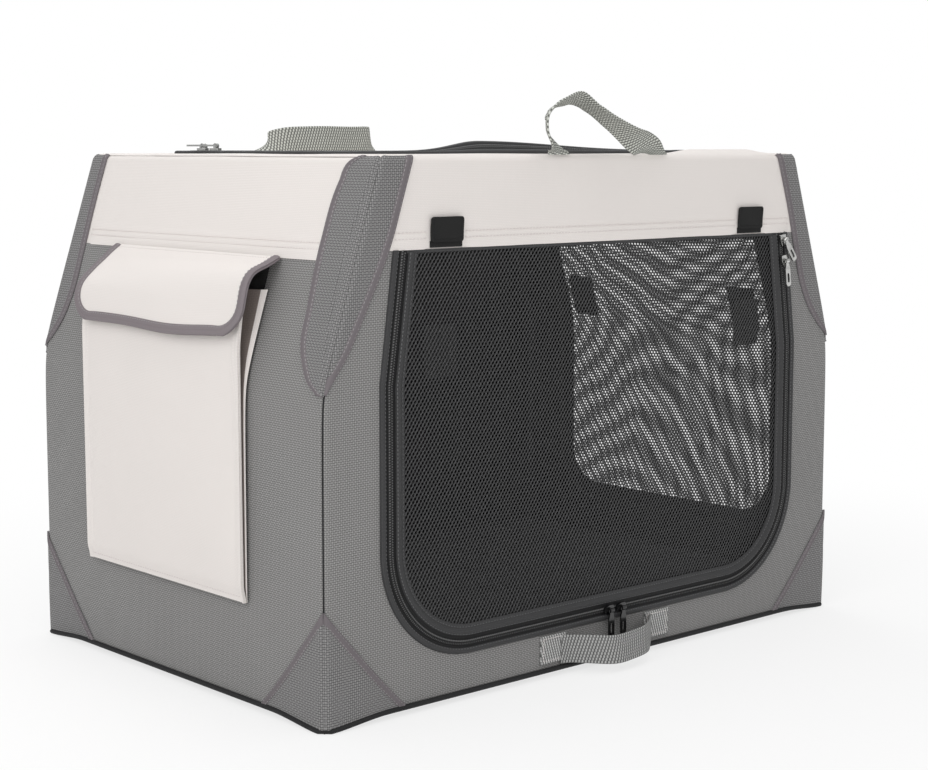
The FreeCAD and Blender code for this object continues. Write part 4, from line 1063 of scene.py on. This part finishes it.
# Webbing handles: a flat section along a line, with the way that its width points given at the same stations
webbing = {"wide": 0.028, "thick": 0.0022, "footClear": 0.003}
slants = {"front": 0.035, "rear": 0.001, "foot": 0.001}  # within this of its ends a handle's section is askew
topHandle = {  # station: x, y, z of the middle line, and the way of the width
    "front": [((-0.068, -0.2358, 0.4995), (1, 0, 0)), ((-0.0692, -0.2362, 0.5016), (1, 0.05, 0)),
              ((-0.0750, -0.2387, 0.5045), (0.92, 0.38, 0)), ((-0.0835, -0.2418, 0.5110), (0.74, 0.67, 0)),
              ((-0.0905, -0.2432, 0.5225), (0.67, 0.74, 0)), ((-0.0900, -0.2434, 0.5345), (0.66, 0.75, 0)),
              ((-0.0825, -0.2430, 0.5425), (0.66, 0.75, 0)),
              ((-0.0700, -0.2418, 0.5482), (0.68, 0.74, -0.10)),
              ((-0.0520, -0.2400, 0.5510), (0.60, 0.74, -0.36)),
              ((-0.0271, -0.2408, 0.5419), (0.55, 0.80, -0.30)),
              ((-0.0045, -0.2425, 0.5300), (0.40, 0.84, -0.35)),
              ((0.0171, -0.2445, 0.5185), (0.10, 0.80, -0.45)),
              ((0.0380, -0.2430, 0.5095), (-0.80, 0.30, -0.25)),
              ((0.0550, -0.2392, 0.5040), (-0.95, 0.10, -0.08)), ((0.068, -0.2358, 0.4995), (-1, 0, 0))],
    "rear": [((-0.068, 0.2350, 0.4995), (1, 0, 0)), ((-0.072, 0.230, 0.5045), (0.85, -0.25, 0.35)),
             ((-0.072, 0.219, 0.5090), (0.50, -0.25, 0.75)), ((-0.060, 0.207, 0.5135), (0.2, -0.1, 1)),
             ((-0.030, 0.199, 0.5155), (0, 0, 1)), ((0.030, 0.199, 0.5155), (0, 0, 1)),
             ((0.062, 0.206, 0.5155), (-0.05, 0, 1)), ((0.073, 0.221, 0.513), (-0.4, 0, 0.9)),
             ((0.071, 0.231, 0.506), (-0.9, -0.1, 0.4)), ((0.068, 0.2350, 0.4995), (-1, 0, 0))],
}
footLow, footHigh = boxCorners("base_handle")
footMiddle = (footLow[2] + footHigh[2]) / 2
proud = frontFace - footLow[1] - webbing["footClear"]  # as far as the loop at the foot stands off the wall
footHandle = [  # its stations: x, the way off the wall, the drop, and the tilt of the width
    (-0.0635, 0.0022, 0, 0), (-0.056, 0.0045, 0, 0), (-0.042, 0.016, 0.0005, 0.05),
    (-0.018, proud, 0.002, 0.14), (0.006, proud - 0.0010, 0.002, 0.14), (0.032, proud - 0.006, 0.001, 0.10),
    (0.052, 0.012, 0, 0.02), (0.0635, 0.0022, 0, 0)]


def strap(stations, count, slant):
    # The flat section along a curve through the stations, cut askew within slant of both ends
    middle, wide = (np.array([station[k] for station in stations], float) for k in range(2))
    run = lengthAlong(middle)
    at = np.linspace(0, run[-1], count)
    line, side = curveThrough(at, run, middle), curveThrough(at, run, wide)
    way = unit(np.gradient(line, axis=0))
    square = smooth(np.minimum(at, run[-1] - at) / slant)
    side = unit(side - way * (square * (side * way).sum(1))[:, None])
    loop = Piece()
    sweep(loop, line, side, unit(np.cross(way, side)), flatSection(webbing["wide"], webbing["thick"], 24))
    return loop


for end, stations in topHandle.items():
    loop = strap(stations, 150, slants[end])
    loop.build(end + "Handle", ("webbing",), end + "_handle", "webbing", [end + "_handle"])
stations = [((x, frontFace - out, footMiddle - drop), (0, tilt, 1)) for x, out, drop, tilt in footHandle]
loop = strap(stations, 110, slants["foot"])
loop.build("baseHandle", ("baseWebbing",), "base_handle", "webbing", ["base_handle"])

footTab = {"inner": 0.0560, "out": 0.0022, "thickness": 0.0020, "stitchIn": 0.003, "stitchTop": 0.027,
           "stitchOut": 0.0021, "stitchPitch": 0.0028, "stitchLong": 0.0022}
tabLow, tabHigh = boxCorners("base_handle_tabs")
tabs = Piece()
line = np.linspace(0, 1, 30)
for side in (-1, 1):
    low, high = sorted(side * edge for edge in (footTab["inner"], tabHigh[0]))
    across = (low + high) / 2 + (high - low) / 2 * edged(24)[None, :]
    height = tabLow[2] + (tabHigh[2] - tabLow[2]) * (1 + edged(24)[:, None]) / 2
    tabs.sheet(faces["front"](across, height, footTab["out"]), paired(across, height), footTab["thickness"])
    low, high = low + footTab["stitchIn"], high - footTab["stitchIn"]
    foot, head = tabLow[2] + footTab["stitchIn"], tabLow[2] + footTab["stitchTop"]
    box = [(low, foot), (high, foot), (high, head), (low, head), (low, foot)]
    for start, finish in zip(box, box[1:]):
        tabs.stitches(faces["front"], *(start[k] + (finish[k] - start[k]) * line for k in range(2)),
                      footTab["stitchOut"], 1, footTab["stitchPitch"], footTab["stitchLong"])
tabs.build("baseHandleTabs", ("tabWebbing", "thread"), "shell", "webbing", ["base_handle_tabs"])
print("handles")

# Mat: a closed crowned pad, drawn in at its seams and along its quilting lines
mat = {"square": 5.0, "edge": 0.999, "bulge": 0.45, "under": 1.6, "drawX": 0.012, "drawY": 0.016,
       "quilt": 0.085, "lineWide": 0.006, "lineDeep": 0.004, "diagonal": 1.414, "seam": 0.36, "fill": 0.55}
matLow, matHigh = boxCorners("floor_mat")
s, t = np.meshgrid(np.linspace(-1, 1, 130), np.linspace(-1, 1, 90))
x = s * matHigh[0] * (1 - mat["drawX"] * (1 - t ** 2) ** 2)
y = t * matHigh[1] * (1 - mat["drawY"] * (1 - s ** 2) ** 2)
sides = [1 - np.abs(way) ** mat["square"] * mat["edge"] for way in (s, t)]
bulge = (sides[0] * sides[1]) ** mat["bulge"]
quilting = [np.mod(way / mat["diagonal"] + mat["quilt"] / 2, mat["quilt"]) - mat["quilt"] / 2
            for way in (x + y, x - y)]
groove = np.maximum(*(np.exp(-(np.abs(off) / mat["lineWide"]) ** 2) for off in quilting))
seamZ = matLow[2] + (matHigh[2] - matLow[2]) * mat["seam"]
top = seamZ + (matHigh[2] - seamZ) * bulge - mat["lineDeep"] * groove * bulge
bottom = seamZ - (seamZ - matLow[2]) * np.minimum(bulge * mat["under"], 1)
pad = Piece()
pad.grid(np.stack([x, y, top], -1), paired(x, y))
pad.grid(np.stack([x, y, bottom], -1), paired(x, y), 0, True)
pad.build("floorMat", ("fleece",), "shell", "mat_fleece", ["floor_mat"], fill=mat["fill"])

# Carried nodes keep their shape and get the finish
silverZips = ("front_upper", "front_lower", "roof_rear", "roof_front", "end_door")
blackZips = ("sill_left", "sill_right")
nodeLooks = {
    "tube": ["base_rails_long", "base_rails_short", *topRails, *legs],
    "moulding": ["base_corner_fittings", "top_corner_fittings"],
    "board": ["floor_board"],
    "silver": [part + kind for part in silverZips for kind in ("_slider", "_pull")],
    "black": [part + kind for part in blackZips for kind in ("_slider", "_pull")],
}
for key, names in nodeLooks.items():
    for name in names:
        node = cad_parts[name]
        node.data.materials.clear()
        node.data.materials.append(looks[key])
print("carried nodes finished")

# Stage: pale floor that the camera sees as white, soft lamps, and the photo's view
stage = {"floor": 6.0, "ground": (0.92, 0.92, 0.92, 1), "sky": 0.55, "shadowReach": 0.5, "whiteReach": 1.1,
         "shadowLift": 0.72, "aim": (0, 0, 0.25)}
scene = bpy.context.scene
floorMesh = bpy.data.meshes.new("floor")
side = stage["floor"]
floorMesh.from_pydata([(-side, -side, 0), (side, -side, 0), (side, side, 0), (-side, side, 0)], [],
                      [(0, 1, 2, 3)])
floor = bpy.data.objects.new("floor", floorMesh)
scene.collection.objects.link(floor)
ground = newLook("paleFloor", {"Roughness": 0.9, "Base Color": stage["ground"]})
rays = ground.node("LightPath").outputs
seen = Term(ground, rays["Is Camera Ray"]).math("MAXIMUM", rays["Is Glossy Ray"])
place = ground.node("VectorMath", {"operation": "LENGTH"}, {0: ground.node("TexCoord").outputs["Object"]})
away = ground.step(Term(ground, place.outputs["Value"]), stage["shadowReach"], stage["whiteReach"])
white = ground.node("Emission", inputs={"Color": (1, 1, 1, 1), "Strength": 1.0})
cover = seen * (stage["shadowLift"] + (1 - stage["shadowLift"]) * away)
both = ground.node("MixShader", inputs={0: cover, 1: ground.shader.outputs[0], 2: white.outputs[0]})
ground.feed(ground.tree.nodes["Material Output"].inputs["Surface"], both.outputs[0])
floorMesh.materials.append(ground.owner)
floor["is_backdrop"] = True

scene.world = bpy.data.worlds.new("studio")
sky = Look(scene.world, {"Color": (1, 1, 1, 1)}, "Background")
rays = sky.node("LightPath").outputs
seen = Term(sky, rays["Is Camera Ray"]).math("MAXIMUM", rays["Is Transmission Ray"])
level = sky.node("MapRange", inputs={"Value": seen, "To Min": stage["sky"], "To Max": 1.0})
sky.feed(sky.shader.inputs["Strength"], level.outputs[0])

lamps = [  # place, size and power
    ("keyLamp", (-2.2, -0.9, 1.7), 1.6, 20), ("frontLamp", (-0.9, -2.4, 1.3), 1.8, 11),
    ("topLamp", (0.1, 0.1, 2.6), 2.2, 20), ("rearLamp", (0.8, 2.2, 1.4), 1.6, 14)]
for name, place, size, power in lamps:
    lamp = bpy.data.lights.new(name, "AREA")
    lamp.size, lamp.energy = size, power
    thing = bpy.data.objects.new(name, lamp)
    thing.location = place
    aim = np.array(stage["aim"]) - np.array(place)
    thing.rotation_euler = (math.atan2(math.hypot(aim[0], aim[1]), -aim[2]), 0,
                            math.atan2(aim[1], aim[0]) - math.pi / 2)
    scene.collection.objects.link(thing)

view = {"place": (-1.30738, -1.48468, 0.50537), "yaw": 41.8935, "down": 7.2235, "lens": 72.516,
        "sensor": 36.0}
camera = bpy.data.cameras.new("photoView")
camera.sensor_fit, camera.sensor_width, camera.lens = "HORIZONTAL", view["sensor"], view["lens"]
eye = bpy.data.objects.new("photoView", camera)
eye.location = view["place"]
eye.rotation_euler = (math.radians(90 - view["down"]), 0, -math.radians(view["yaw"]))
scene.collection.objects.link(eye)
scene.camera = eye
scene.view_settings.view_transform = "Standard"

low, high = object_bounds()
{"cad": [list(cadLow), list(cadHigh)], "visual": [list(low), list(high)]}
print("visual box", [round(v, 4) for v in low], [round(v, 4) for v in high])
